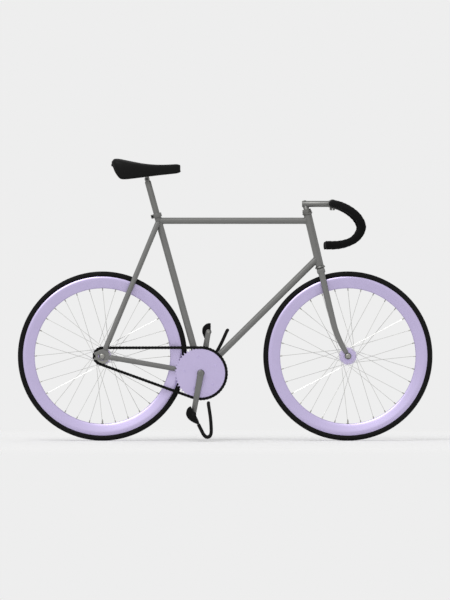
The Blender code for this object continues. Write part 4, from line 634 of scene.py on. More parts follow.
@dataclass(frozen=True)
class Finish:
    """A material as it is bought and worked, with what the eye sees of it."""

    name: str
    slot: str
    colour: str
    worn: str
    roughness: float
    relief: Relief
    relief_size: float
    relief_depth: float
    metallic: float = 0.0
    ior: float = 1.5
    roughness_drift: float = 0.06
    drift_size: float = 0.045
    specular: float = 0.5
    coat: float = 0.0
    centre: tuple[float, float, float] = (0.0, 0.0, 0.0)

    def material(self) -> bpy.types.Material:
        """Return the material, made the first time that it is asked for."""
        if self.name in bpy.data.materials:
            return bpy.data.materials[self.name]
        made = bpy.data.materials.new(self.name)
        made.use_nodes = True
        tree = made.node_tree
        shader = tree.nodes["Principled BSDF"]
        where = add_node(tree, "ShaderNodeTexCoord", {}).outputs["Object"]
        drift = add_node(tree, "ShaderNodeTexNoise", {
            "Vector": where, "Scale": 1.0 / self.drift_size, "Detail": 4.0,
            "Roughness": 0.6}).outputs["Fac"]
        colour = add_node(tree, "ShaderNodeMix", {
            0: drift, 6: linear(self.colour), 7: linear(self.worn)}, data_type="RGBA")
        roughness = add_node(tree, "ShaderNodeMapRange", {
            "Value": drift, "From Min": DRIFT_RANGE[0], "From Max": DRIFT_RANGE[1],
            "To Min": self.roughness - self.roughness_drift,
            "To Max": self.roughness + self.roughness_drift})
        bump = add_node(tree, "ShaderNodeBump", {
            "Strength": 0.6, "Distance": self.relief_depth, "Height": self.height(tree, where)})
        feed(tree, shader, {
            "Base Color": colour.outputs[2], "Roughness": roughness.outputs["Result"],
            "Normal": bump.outputs["Normal"], "Metallic": self.metallic, "IOR": self.ior,
            "Specular IOR Level": self.specular, "Coat Weight": self.coat})
        return made

    def height(self, tree: bpy.types.NodeTree,
               where: bpy.types.NodeSocket) -> bpy.types.NodeSocket:
        """Add the nodes of the relief.

        Args:
            tree: The material's node tree.
            where: The place in the object that is shaded.

        Returns:
            The socket that gives the relief's height.
        """
        if self.relief in (Relief.TURNED, Relief.RIBBED):
            centred = add_node(tree, "ShaderNodeMapping", {
                "Vector": where, "Location": [-value for value in self.centre]})
            kind = "RINGS" if self.relief is Relief.TURNED else "BANDS"
            return add_node(tree, "ShaderNodeTexWave", {
                "Vector": centred.outputs["Vector"], "Scale": math.pi / 10 / self.relief_size,
                "Distortion": 0.4, "Detail": 1.0}, wave_type=kind, bands_direction="Y",
                rings_direction="Y").outputs["Fac"]
        if self.relief is Relief.GRAINED:
            return add_node(tree, "ShaderNodeTexVoronoi", {
                "Vector": where, "Scale": 1.0 / self.relief_size, "Smoothness": 0.5},
                feature="SMOOTH_F1").outputs["Distance"]
        return add_node(tree, "ShaderNodeTexNoise", {
            "Vector": where, "Scale": 1.0 / self.relief_size,
            "Detail": 1.0 if self.relief is Relief.PEEL else 3.0}).outputs["Fac"]


# Polyester powder baked on steel tube: it flows into a skin with a soft orange peel, so its
# highlights are wide with wavy edges, and the grey stays even from tube to tube.
FRAME_PAINT = Finish(
    "powder_coated_steel", "frame_paint", "#6f6f6d", "#686866", 0.38, Relief.PEEL, 0.0018,
    0.00003, ior=1.52, coat=0.15)
# 6061 aluminium, bead blasted, then dyed in the oxide: a satin metal with a soft even sheen.
LAVENDER = Finish(
    "lavender_anodised_aluminium", "lavender_anodised", "#cbc0e4", "#bfb4d8", 0.42,
    Relief.BLASTED, 0.0004, 0.00001, metallic=1.0, roughness_drift=0.04)
# The same dyed aluminium, faced on a lathe: the tool's rings stretch its highlights round.
TURNED_LAVENDER = Finish(
    "turned_lavender_aluminium", "lavender_anodised", "#cbc0e4", "#c1b6d9", 0.38,
    Relief.TURNED, 0.0006, 0.000006, metallic=1.0, roughness_drift=0.04)
# Vulcanised natural rubber with carbon black: it scatters little and shines broadly at the
# edge of view, and a new tread keeps fine ribs from its mould.
TYRE_RUBBER = Finish(
    "vulcanised_rubber", "tyre", "#040404", "#080808", 0.78, Relief.RIBBED, 0.0011, 0.00008,
    ior=1.52, roughness_drift=0.08, specular=0.15)
# Latex coated cotton sidewall: smoother than the tread, with a faint weave under the latex.
SIDEWALL = Finish(
    "latex_coated_cotton", "tyre", "#050505", "#090909", 0.7, Relief.BLASTED, 0.0006,
    0.00003, ior=1.52, specular=0.15)
# Cork filled polymer foam tape: matt, with a soft pebble of cork grains under its skin.
BAR_TAPE = Finish(
    "cork_polymer_tape", "bar_tape", "#040404", "#080808", 0.82, Relief.GRAINED, 0.0017,
    0.00016, ior=1.46, specular=0.15)
# Chrome tanned hide, dyed through and waxed: fine rounded grain, polished by riding on top.
LEATHER = Finish(
    "waxed_leather", "saddle_cover", "#040404", "#080807", 0.58, Relief.GRAINED, 0.0011,
    0.00009, ior=1.47, roughness_drift=0.08, drift_size=0.03, specular=0.18)
# Carbon steel with a hot oxide blacking under oil: near black metal with a low wet shine.
BLACK_STEEL = Finish(
    "oil_blackened_steel", "black_steel", "#050505", "#0a0a0a", 0.5, Relief.BLASTED, 0.0005,
    0.00001, metallic=0.3, roughness_drift=0.08, drift_size=0.02, specular=0.15)
# Glass filled nylon from an etched mould: matt and dark, with a fine sparkle of texture.
RESIN = Finish(
    "glass_filled_nylon", "black_resin", "#040404", "#080808", 0.64, Relief.BLASTED, 0.0005,
    0.00003, ior=1.53, specular=0.15)
# Forged aluminium, blasted and anodised mid grey: satin, with a slightly uneven sheen.
GREY_ALLOY = Finish(
    "grey_anodised_aluminium", "grey_alloy", "#7d7d7b", "#737371", 0.42, Relief.BLASTED,
    0.0004, 0.00001, metallic=1.0)
# Drawn and polished stainless steel: it mirrors the pale room, so thin wires nearly vanish.
STAINLESS = Finish(
    "polished_stainless_steel", "bright_steel", "#d2d2cf", "#c6c6c3", 0.2, Relief.BLASTED,
    0.0008, 0.000003, metallic=1.0)
# Nickel plated steel, tumbled before it is plated: bright, with blurred reflections.
PLATED_STEEL = Finish(
    "nickel_plated_steel", "bright_steel", "#a5a4a0", "#96958f", 0.32, Relief.BLASTED, 0.0006,
    0.000008, metallic=1.0)


def turned_round(label: str, centre: Vector) -> Finish:
    """Return the turned aluminium with its rings round an axis through a centre."""
    return replace(
        TURNED_LAVENDER, name=f"{TURNED_LAVENDER.name}_{label}", centre=tuple(centre))


@dataclass
class Layout:
    """The sizes, points and directions that the sub-assemblies share."""

    rear_axle: Vector
    front_axle: Vector
    bracket: Vector
    seat_angle: float = math.radians(74.5)
    head_angle: float = math.radians(76.7)
    fork_rake: float = 0.026
    tyre_radius: float = 0.334
    top_tube_height: float = 0.8676
    head_tube_top: float = 0.89
    down_tube_joint: float = 0.72154
    crown_above_tyre: float = 0.0082
    crown_height: float = 0.018
    race_height: float = 0.003
    cup_height: float = 0.010
    locknut_height: float = 0.013
    seat_tube_extension: float = 0.030
    stem_height: float = 0.934
    stem_extension: float = 0.1076
    saddle_pivot_from_cluster: float = 0.170
    rail_above_pivot: float = 0.019
    saddle_clamp_from_rear: float = 0.1375
    chain_pitch: float = 0.0127
    ring_teeth: int = 50
    cog_teeth: int = 16
    chain_line: float = 0.042
    crank_length: float = 0.165
    crank_lean: float = math.radians(10.3)
    roller_radius: float = 0.0039
    shell_width: float = 0.068
    shell_flange_thickness: float = 0.0017
    pedal_width: float = 0.088
    pedal_axle_diameter: float = 0.012
    seat_tube_diameter: float = 0.0266
    seatpost_diameter: float = 0.0244
    head_tube_diameter: float = 0.0318
    steerer_diameter: float = 0.0254
    bar_clamp_diameter: float = 0.0254
    post_head_width: float = 0.028
    rail_diameter: float = 0.007
    rail_spread: float = 0.022

    def __post_init__(self) -> None:
        """Work out the directions and points that follow from the sizes."""
        self.seat_up = at(-math.cos(self.seat_angle), math.sin(self.seat_angle))
        self.steer_up = at(-math.cos(self.head_angle), math.sin(self.head_angle))
        self.steer_forward = at(math.sin(self.head_angle), math.cos(self.head_angle))
        self.steer_foot = self.front_axle - self.fork_rake * self.steer_forward
        self.cluster = self.bracket + self.seat_up * (
            (self.top_tube_height - self.bracket.z) / self.seat_up.z)
        self.seat_tube_top = self.cluster + self.seat_up * self.seat_tube_extension
        self.head_top = self.on_steering_axis(self.head_tube_top)
        reach = self.tyre_radius + self.crown_above_tyre
        self.crown_bottom = self.steer_foot + self.steer_up * math.sqrt(
            reach ** 2 - self.fork_rake ** 2)
        self.crown_top = self.crown_bottom + self.steer_up * self.crown_height
        self.head_bottom = self.crown_top + self.steer_up * (
            self.race_height + GAP + self.cup_height)
        self.stem_top = self.on_steering_axis(self.stem_height)
        self.bar_centre = self.stem_top + at(self.stem_extension, 0.0)
        self.saddle_pivot = self.cluster + self.seat_up * self.saddle_pivot_from_cluster
        self.rail_middle = self.saddle_pivot + at(0.0, self.rail_above_pivot)
        self.saddle_rear = self.rail_middle - at(self.saddle_clamp_from_rear, 0.0)
        centre_line = self.bracket - self.rear_axle
        self.chainstay_length = centre_line.length
        self.to_bracket = centre_line.normalized()
        self.to_cluster = (self.cluster - self.rear_axle).normalized()
        self.lean = math.asin(
            (self.pitch_radius(self.ring_teeth) - self.pitch_radius(self.cog_teeth))
            / centre_line.length)
        angle = math.atan2(centre_line.z, centre_line.x)
        self.upper_angle = angle + math.pi / 2 + self.lean
        self.lower_angle = angle - math.pi / 2 - self.lean
        self.straight_links = centre_line.length * math.cos(self.lean) / self.chain_pitch
        over = math.ceil(self.straight_links) - self.straight_links
        self.cog_phase = self.upper_angle + over * math.tau / self.cog_teeth

    @classmethod
    def measured(cls) -> "Layout":
        """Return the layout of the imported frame, from the middles of its tyres and its shell."""
        centres = [
            (low + high) / 2 for low, high in map(
                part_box, ("rear_tyre", "front_tyre", "bottom_bracket_shell"))]
        return cls(*[at(centre.x, centre.z) for centre in centres])

    def on_steering_axis(self, height: float) -> Vector:
        """Return the point of the steering axis at a height above the ground."""
        return self.steer_foot + self.steer_up * (
            (height - self.steer_foot.z) / self.steer_up.z)

    def pitch_radius(self, teeth: int) -> float:
        """Return the radius of the circle that the rollers lie on."""
        return self.chain_pitch / (2 * math.sin(math.pi / teeth))

    def crank_end(self, side: Side) -> Vector:
        """Return the point of a pedal's axis that lies on the middle plane."""
        down = at(-math.sin(self.crank_lean), -math.cos(self.crank_lean))
        return self.bracket + down * self.crank_length * -side.value


@dataclass(frozen=True)
class Tube:
    """A tube that another one is mitred to: a point of its axis, its direction and its radius."""

    point: Vector
    direction: Vector
    radius: float

    def far_side(self, start: Vector, along: Vector) -> float:
        """Return how far a line runs from start until it leaves the tube, or 0 if it misses."""
        gap = start - self.point
        gap -= self.direction * gap.dot(self.direction)
        run = along - self.direction * along.dot(self.direction)
        a, b, c = run.length_squared, gap.dot(run), gap.length_squared - self.radius ** 2
        return (-b + math.sqrt(b * b - a * c)) / a if b * b > a * c else 0.0


def joint_line(start: Vector, along: Vector, radius: float, mains: Sequence[Tube],
               count: int = 64) -> list[Vector]:
    """Return the closed line where a tube leaves the tubes that it is mitred to.

    Args:
        start: A point of the tube's axis, inside the tubes that it meets.
        along: The direction that the tube leaves in.
        radius: The tube's radius.
        mains: The tubes that it meets.
        count: How many points the line has.

    Returns:
        The line's points, the last one equal to the first.
    """
    place = toward(start, along)
    points = []
    for step in range(count + 1):
        turn = math.tau * (step % count) / count
        edge = place @ Vector((radius * math.cos(turn), radius * math.sin(turn), 0.0))
        points.append(edge + along * max(main.far_side(edge, along) for main in mains))
    return points


@dataclass
class Wheel:
    """A tubular tyre on a deep rim, laced three cross to a high flange hub, with its axle."""

    layout: Layout
    prefix: str
    centre: Vector
    holder: str
    spacing: float
    plate: float
    axle_diameter: float
    flange_spread: float
    right_end: float | None = None
    tyre_width: float = 0.024
    tread_step: float = 0.00025
    tread_half_angle: float = math.radians(50)
    tread_underlap: float = 1.02
    casing_half_angle: float = math.radians(133)
    casing_base: Profile = ((0.0014, 0.0085), (0.0, 0.0045))
    rim_radius: float = 0.3135
    rim_depth: float = 0.0465
    rim_width: float = 0.023
    shoulder_depth: float = 0.012
    bed_depth: float = 0.0038
    bed_curve: Profile = ((0.0, 0.0), (0.0002, 0.0030), (0.0012, 0.0062), (0.0030, 0.0090))
    lip_curve: Profile = ((-0.0003, -0.0016), (0.0, -0.0011), (-0.0004, -0.0006))
    wall_curve: Profile = ((0.003, -0.0001), (0.0, 0.0), (-0.003, -0.0003), (-0.008, -0.0016))
    nose_curve: Profile = (
        (0.012, 0.0071), (0.0055, 0.0052), (0.0025, 0.0042), (0.0008, 0.0026), (0.0, 0.0010))
    flange_diameter: float = 0.067
    flange_thickness: float = 0.003
    flange_rounding: float = 0.0007
    hole_circle: float = 0.058
    barrel_diameter: float = 0.028
    barrel_fillet: Profile = (
        (0.0085, -0.0004), (0.0040, -0.0020), (0.0012, -0.0050), (0.0, -0.0095),
        (-0.0012, -0.0200))
    boss_diameter: float = 0.034
    boss_length: float = 0.0045
    boss_edge: float = 0.0005
    boss_fillet: float = 0.0006
    seal_groove: float = 0.004
    seal_depth: float = 0.002
    bore_diameter: float = 0.015
    cone_diameter: float = 0.017
    cone_edge: float = 0.0006
    nut_corners: float = 0.0173
    nut_thickness: float = 0.0095
    axle_past_nut: float = 0.004
    thread_depth: float = 0.0004
    thread_step: float = 0.0005
    nut_flange: Profile = ((0.0006, 0.0), (0.0006, 0.0010), (-0.0008, 0.0019))
    nut_flange_height: float = 0.0017
    spokes: int = 16
    crossings: int = 3
    spoke_diameter: float = 0.002
    weave: float = 1.05
    elbow: tuple[float, float] = (0.0003, 0.0014)
    bow_reach: float = 0.006
    bow_share: float = 0.03
    spoke_head_sink: float = 0.0008
    nipple_length: float = 0.012
    nipple_diameter: float = 0.0042
    nipple_depth: float = 0.003
    nipple_offset: float = 0.0012
    nipple_edge: float = 0.0004
    spoke_head_radius: float = 0.0019
    spoke_head_height: float = 0.0010
    valve_length: float = 0.015
    valve_radius: float = 0.003
    valve_depth: float = 0.002
    valve_edge: float = 0.0003
    valve_nut_height: float = 0.0022
    valve_tip: Sequence[tuple[float, float, float, float]] = (
        (0.0, 0.0045, 0.0012, 0.0002), (0.002, 0.0035, 0.0021, 0.0003))
    steps: int = 144

    def build(self) -> None:
        """Build the wheel and the axle that it turns on."""
        self.body = self.prefix + "_wheel"
        self.axis = toward(self.centre, ACROSS)
        self.flange_face = self.flange_spread + self.flange_thickness / 2
        self.left_end = self.flange_face + self.boss_length
        self.right_end = self.right_end or self.left_end
        self.turned_finish = turned_round(self.prefix, self.centre)
        self.build_tyre()
        self.build_rim()
        self.build_hub()
        self.build_spokes()
        self.build_axle()

    def build_tyre(self) -> None:
        """Build the tyre's casing with its sidewalls, and the tread that is glued on it."""
        half = self.tyre_width / 2
        middle = self.layout.tyre_radius - half
        bed = self.rim_radius - self.bed_depth + GAP
        wide = self.casing_half_angle
        casing = arc((middle, 0.0), half - self.tread_step, -wide, wide, 45)
        base = moved(self.casing_base, bed)
        casing += base + mirrored(base[::-1])
        over, under = self.tread_half_angle, self.tread_half_angle * self.tread_underlap
        tread = arc((middle, 0.0), half, -over, over, 21)
        tread += arc((middle, 0.0), half - 3 * self.tread_step, under, -under, 13)
        Form().turn(casing, self.axis, self.steps).piece(
            self.prefix + "_tyre_casing", self.body, SIDEWALL, self.prefix + "_tyre")
        Form().turn(tread, self.axis, self.steps).piece(
            self.prefix + "_tread", self.body, TYRE_RUBBER, self.prefix + "_tyre")

    def build_rim(self) -> None:
        """Build the rim with its glued bed, rolled lips and rounded nose, and the valve."""
        wall = self.rim_width / 2
        bed = self.rim_radius - self.bed_depth
        shoulder = self.rim_radius - self.shoulder_depth
        nose = self.rim_radius - self.rim_depth
        half = (
            moved(self.bed_curve, bed) + moved(self.lip_curve, self.rim_radius, wall)
            + moved(self.wall_curve, shoulder, wall) + moved(self.nose_curve, nose))
        Form().turn(half + mirrored(half[:0:-1]), self.axis, self.steps).piece(
            self.prefix + "_aero_rim", self.body, self.turned_finish, self.prefix + "_rim",
            sharp=50)
        foot = self.centre - at(0.0, nose + self.valve_depth)
        top = foot + at(0.0, self.valve_length)
        stem = Form().rod(foot, top, self.valve_radius, self.valve_edge)
        stem.nut(
            foot + UP * self.valve_depth, UP, self.valve_radius + self.valve_nut_height,
            self.valve_radius, self.valve_nut_height, self.valve_edge)
        for low, high, radius, chamfer in self.valve_tip:
            stem.rod(top + UP * low, top + UP * high, radius, chamfer, 12)
        stem.piece(self.prefix + "_valve", self.body, PLATED_STEEL)

    def build_hub(self) -> None:
        """Build the hub shell, turned with rounded flanges and filleted into its barrel."""
        half = self.flange_thickness / 2
        rim = self.flange_diameter / 2
        barrel = self.barrel_diameter / 2
        boss = self.boss_diameter / 2
        edge = self.flange_rounding

        def side(end: float) -> Outline:
            """Return half the section, from the bore's end to the barrel's middle."""
            face, inner = self.flange_spread + half, self.flange_spread - half
            return [
                (self.bore_diameter / 2, end), (boss - self.boss_edge, end),
                (boss, end - self.boss_edge), (boss, face + self.boss_fillet),
                (boss + self.boss_fillet, face), (rim - edge, face),
                (rim - edge / 3, face - edge / 3), (rim, face - edge), (rim, inner + edge),
                (rim - edge / 3, inner + edge / 3), (rim - edge, inner),
                *moved(self.barrel_fillet, barrel, inner)]
        right = mirrored(side(self.right_end))
        Form().turn(side(self.left_end) + right[::-1], self.axis, 72).piece(
            self.prefix + "_hub", self.body, self.turned_finish, self.prefix + "_hub_shell")
        seals = Form()
        lip, groove = self.cone_diameter / 2 - 0.001, boss - self.seal_groove
        for end, hand in ((self.left_end, 1), (self.right_end, -1)):
            seals.turn(
                [(lip, -self.seal_depth), (groove, -self.seal_depth), (groove, 0.0003),
                 (lip, 0.0005)], toward(self.centre + ACROSS * hand * end, ACROSS * hand), 48)
        seals.piece(self.prefix + "_hub_seals", self.body, RESIN)

    def spoke_line(self, side: Side, hole: int) -> tuple[Vector, Vector]:
        """Return a spoke's hole in the flange and its nipple's place in the rim.

        Args:
            side: The side of the hub.
            hole: The spoke's number on that side.

        Returns:
            The two points, both on the middle plane.
        """
        step = math.tau / self.spokes
        rim_angle = step * hole + (0.0 if side is Side.LEFT else step / 2)
        flange_angle = rim_angle + self.crossings * step * (1 if hole % 2 else -1)
        nose = self.rim_radius - self.rim_depth
        return tuple(
            around(self.centre, reach, angle)
            for angle, reach in ((flange_angle, self.hole_circle / 2), (rim_angle, nose)))

    def build_spokes(self) -> None:
        """Build the spokes, each with its head, its elbow and its nipple, and interlace them."""
        radius = self.spoke_diameter / 2
        step = math.tau / self.spokes
        for side in Side:
            wires, nipples = Form(), Form()
            out = ACROSS * side.value
            for hole in range(self.spokes):
                head, foot = self.spoke_line(side, hole)
                outside = hole % 2 == 0
                face = self.flange_spread + (1 if outside else -1) * self.flange_thickness / 2
                back = 2 * self.flange_spread - face
                beside = face + (radius if outside else -radius)
                along = (foot - head).normalized()
                crossing = step * (hole + (-0.5 if outside else 0.5)) + (
                    0.0 if side is Side.LEFT else step / 2)
                line = at(math.cos(crossing), math.sin(crossing))
                from_head, whole = head - self.centre, foot - head
                share = -(from_head.cross(line).y) / whole.cross(line).y
                height = self.flange_spread + (self.nipple_offset - self.flange_spread) * share
                height += radius * self.weave * (-1 if outside else 1)
                crossed = head + whole * share
                path = [
                    head + out * (back + self.spoke_head_sink * (-1 if outside else 1)),
                    head + out * face,
                    head + out * (face + beside) / 2 + along * self.elbow[0],
                    head + out * beside + along * self.elbow[1],
                    crossed - along * self.bow_reach
                    + out * (height + (beside - height) * self.bow_share),
                    crossed + out * height, foot + out * self.nipple_offset]
                wires.sweep(path, radius, 6)
                under = back + self.spoke_head_height * (-1 if outside else 1)
                wires.rod(
                    head + out * under, head + out * back, self.spoke_head_radius,
                    self.spoke_head_height / 2, 8)
                line_in = (path[-2] - path[-1]).normalized()
                root = path[-1] - line_in * self.nipple_depth
                nipples.rod(
                    root, root + line_in * self.nipple_length, self.nipple_diameter / 2,
                    self.nipple_edge, 8)
            wires.piece(
                f"{self.prefix}_{side.label}_spokes", self.body, STAINLESS,
                f"{self.prefix}_spokes_{side.label}")
            nipples.piece(f"{self.prefix}_{side.label}_nipples", self.body, PLATED_STEEL)

    def build_axle(self) -> None:
        """Build the threaded axle with its cones, and the flanged nuts that clamp it."""
        radius = self.axle_diameter / 2
        cone = self.cone_diameter / 2
        inner = self.spacing / 2 - GAP
        end = self.spacing / 2 + self.plate + GAP + self.nut_thickness + self.axle_past_nut

        def side(hub_end: float) -> Outline:
            """Return half the section, from the axle's tip to the middle of the hub."""
            tip, turns = self.cone_edge, int((end - inner - self.cone_edge) / self.thread_step)
            thread = [
                (radius - self.thread_depth * (i % 2), end - tip - i * self.thread_step)
                for i in range(turns)]
            return [(0.0, end), (radius - 2 * self.thread_depth, end)] + thread + [
                (radius, inner), *chamfered(cone, inner, self.cone_edge),
                (cone, hub_end + RUNNING_GAP), (radius, hub_end + RUNNING_GAP)]
        right = mirrored(side(self.right_end))
        Form().turn(side(self.left_end) + right[::-1], self.axis, 32, closed=False).piece(
            self.prefix + "_axle_and_cones", self.holder, PLATED_STEEL, self.prefix + "_axle",
            sharp=30)
        for hand in Side:
            out = ACROSS * hand.value
            face = self.centre + out * (self.spacing / 2 + self.plate + GAP)
            corner, hole = self.nut_corners / 2, radius + GAP
            nut = Form().turn(
                [(hole, 0.0), *moved(self.nut_flange, corner), (hole, self.nut_flange[-1][1])],
                toward(face, out), 40)
            nut.nut(
                face + out * self.nut_flange_height, out, corner, hole,
                self.nut_thickness - self.nut_flange_height, chamfer=0.0008)
            nut.piece(
                f"{self.prefix}_{hand.label}_track_nut", self.holder, PLATED_STEEL,
                f"{self.prefix}_axle_nut_{hand.label}")


@dataclass
class Sprocket:
    """A toothed wheel whose teeth stand between the rollers of the chain."""

    layout: Layout
    name: str
    node: str
    body: str
    finish: Finish
    centre: Vector
    teeth: int
    phase: float
    tooth_height: float
    thickness: float
    bore: float
    seat_arc: float = math.radians(66)
    tip_width: float = 0.0016
    edge: float = 0.00035

    def build(self) -> None:
        """Build the sprocket."""
        radius = self.layout.pitch_radius(self.teeth)
        seat = self.layout.roller_radius + GAP
        tip = radius + self.tooth_height
        half_tip = self.tip_width / 2 / tip
        outline = []
        for tooth in range(self.teeth):
            angle = self.phase + math.tau * tooth / self.teeth
            roller, inwards = around(self.centre, radius, angle), angle + math.pi
            outline += arc(
                flat(roller), seat, inwards + self.seat_arc, inwards - self.seat_arc, 7)
            middle = angle + math.pi / self.teeth
            outline += arc(flat(self.centre), tip, middle - half_tip, middle + half_tip, 2)
        bore = circle(self.bore, 48, flat(self.centre))
        Form().plate(
            outline, self.thickness, side_view(-self.layout.chain_line), self.edge,
            segments=1, holes=[bore]).piece(self.name, self.body, self.finish, self.node)


@dataclass
class Lockring:
    """The left threaded ring that holds the cog on the hub, notched for its spanner."""

    layout: Layout
    diameter: float = 0.040
    bore: float = 0.034
    thickness: float = 0.0037
    cog_thickness: float = 0.0028
    notches: int = 6
    notch_depth: float = 0.0017
    notch_half_angle: float = 0.10
    notch_slope: float = 0.01
    edge: float = 0.0006

    def build(self) -> None:
        """Build the ring with its notches."""
        outer, inner = self.diameter / 2, self.bore / 2 + GAP
        step = math.tau / self.notches
        low = self.notch_half_angle
        high = low + self.notch_slope
        outline = []
        for notch in range(self.notches):
            angle, end = step * notch, step * (notch + 1)
            outline += arc((0.0, 0.0), outer, angle + high, end - high, 8)
            outline += arc((0.0, 0.0), outer - self.notch_depth, end - low, end + low, 3)
        face = self.layout.chain_line + self.cog_thickness / 2 + GAP + self.thickness / 2
        place = toward(self.layout.rear_axle - ACROSS * face, -ACROSS)
        Form().plate(
            outline, self.thickness, place, self.edge, holes=[circle(inner, 40)]).piece(
                "track_lockring", "rear_wheel", PLATED_STEEL, "rear_lockring")


@dataclass
class Chain:
    """The roller chain, link by link round the ring and the cog."""

    layout: Layout
    links: int = 96
    inner_half_width: float = 0.0017
    plate_thickness: float = 0.0010
    plate_radius: float = 0.0061
    waist: float = 0.0051
    pin_radius: float = 0.0018
    pin_half_length: float = 0.0040
    pin_edge: float = 0.0003
    plate_edge: float = 0.0002
    play: float = 0.0001

    def roller(self, number: float) -> Vector:
        """Return the middle of a roller, counted from the ring's upper end of the run."""
        plan = self.layout
        straight = plan.straight_links
        on_cog = plan.cog_teeth * (0.5 - plan.lean / math.pi)
        ring, cog = plan.pitch_radius(plan.ring_teeth), plan.pitch_radius(plan.cog_teeth)
        ends = [
            [around(plan.bracket, ring, angle), around(plan.rear_axle, cog, angle)]
            for angle in (plan.upper_angle, plan.lower_angle)]
        if number < straight:
            return ends[0][0].lerp(ends[0][1], number / straight)
        number -= straight
        if number < on_cog:
            turned = number * math.tau / plan.cog_teeth
            return around(plan.rear_axle, cog, plan.upper_angle + turned)
        number -= on_cog
        if number < straight:
            return ends[1][1].lerp(ends[1][0], number / straight)
        number -= straight
        turned = number * math.tau / plan.ring_teeth
        return around(plan.bracket, ring, plan.lower_angle + turned)

    def plate_outline(self) -> Outline:
        """Return a side plate's outline, round at both rollers and drawn in between them."""
        pitch = self.layout.chain_pitch
        first = arc((0.0, 0.0), self.plate_radius, math.radians(60), math.radians(300), 10)
        second = arc((pitch, 0.0), self.plate_radius, math.radians(-120), math.radians(120), 10)
        return first + [(pitch / 2, -self.waist)] + second + [(pitch / 2, self.waist)]

    def build(self) -> None:
        """Build the chain from its inner links, its outer links and their pins."""
        inner, outer = Form(), Form()
        flat_on = Matrix.Rotation(math.pi / 2, 4, "X")
        outline = self.plate_outline()
        low, high = self.inner_half_width, self.inner_half_width + self.plate_thickness
        for hand in Side:
            for form, offset in ((inner, low), (outer, high + self.play)):
                middle = hand.value * (offset + self.plate_thickness / 2)
                form.plate(
                    outline, self.plate_thickness,
                    Matrix.Translation((0.0, middle, 0.0)) @ flat_on, self.plate_edge,
                    segments=1)
        for along in (0.0, self.layout.chain_pitch):
            for form, half, radius, edge, steps in (
                    (inner, self.inner_half_width - self.play, self.layout.roller_radius,
                     0.0, 18),
                    (outer, self.pin_half_length, self.pin_radius, self.pin_edge, 10)):
                form.rod(at(along, 0.0, -half), at(along, 0.0, half), radius, edge, steps)
        chain = Form()
        for link in range(self.links):
            start, end = self.roller(link), self.roller((link + 1) % self.links)
            line = end - start
            place = tilted(
                start - ACROSS * self.layout.chain_line, -math.atan2(line.z, line.x))
            chain.stamp(inner if link % 2 else outer, [place])
        chain.piece("roller_chain", "frame", BLACK_STEEL, "chain")


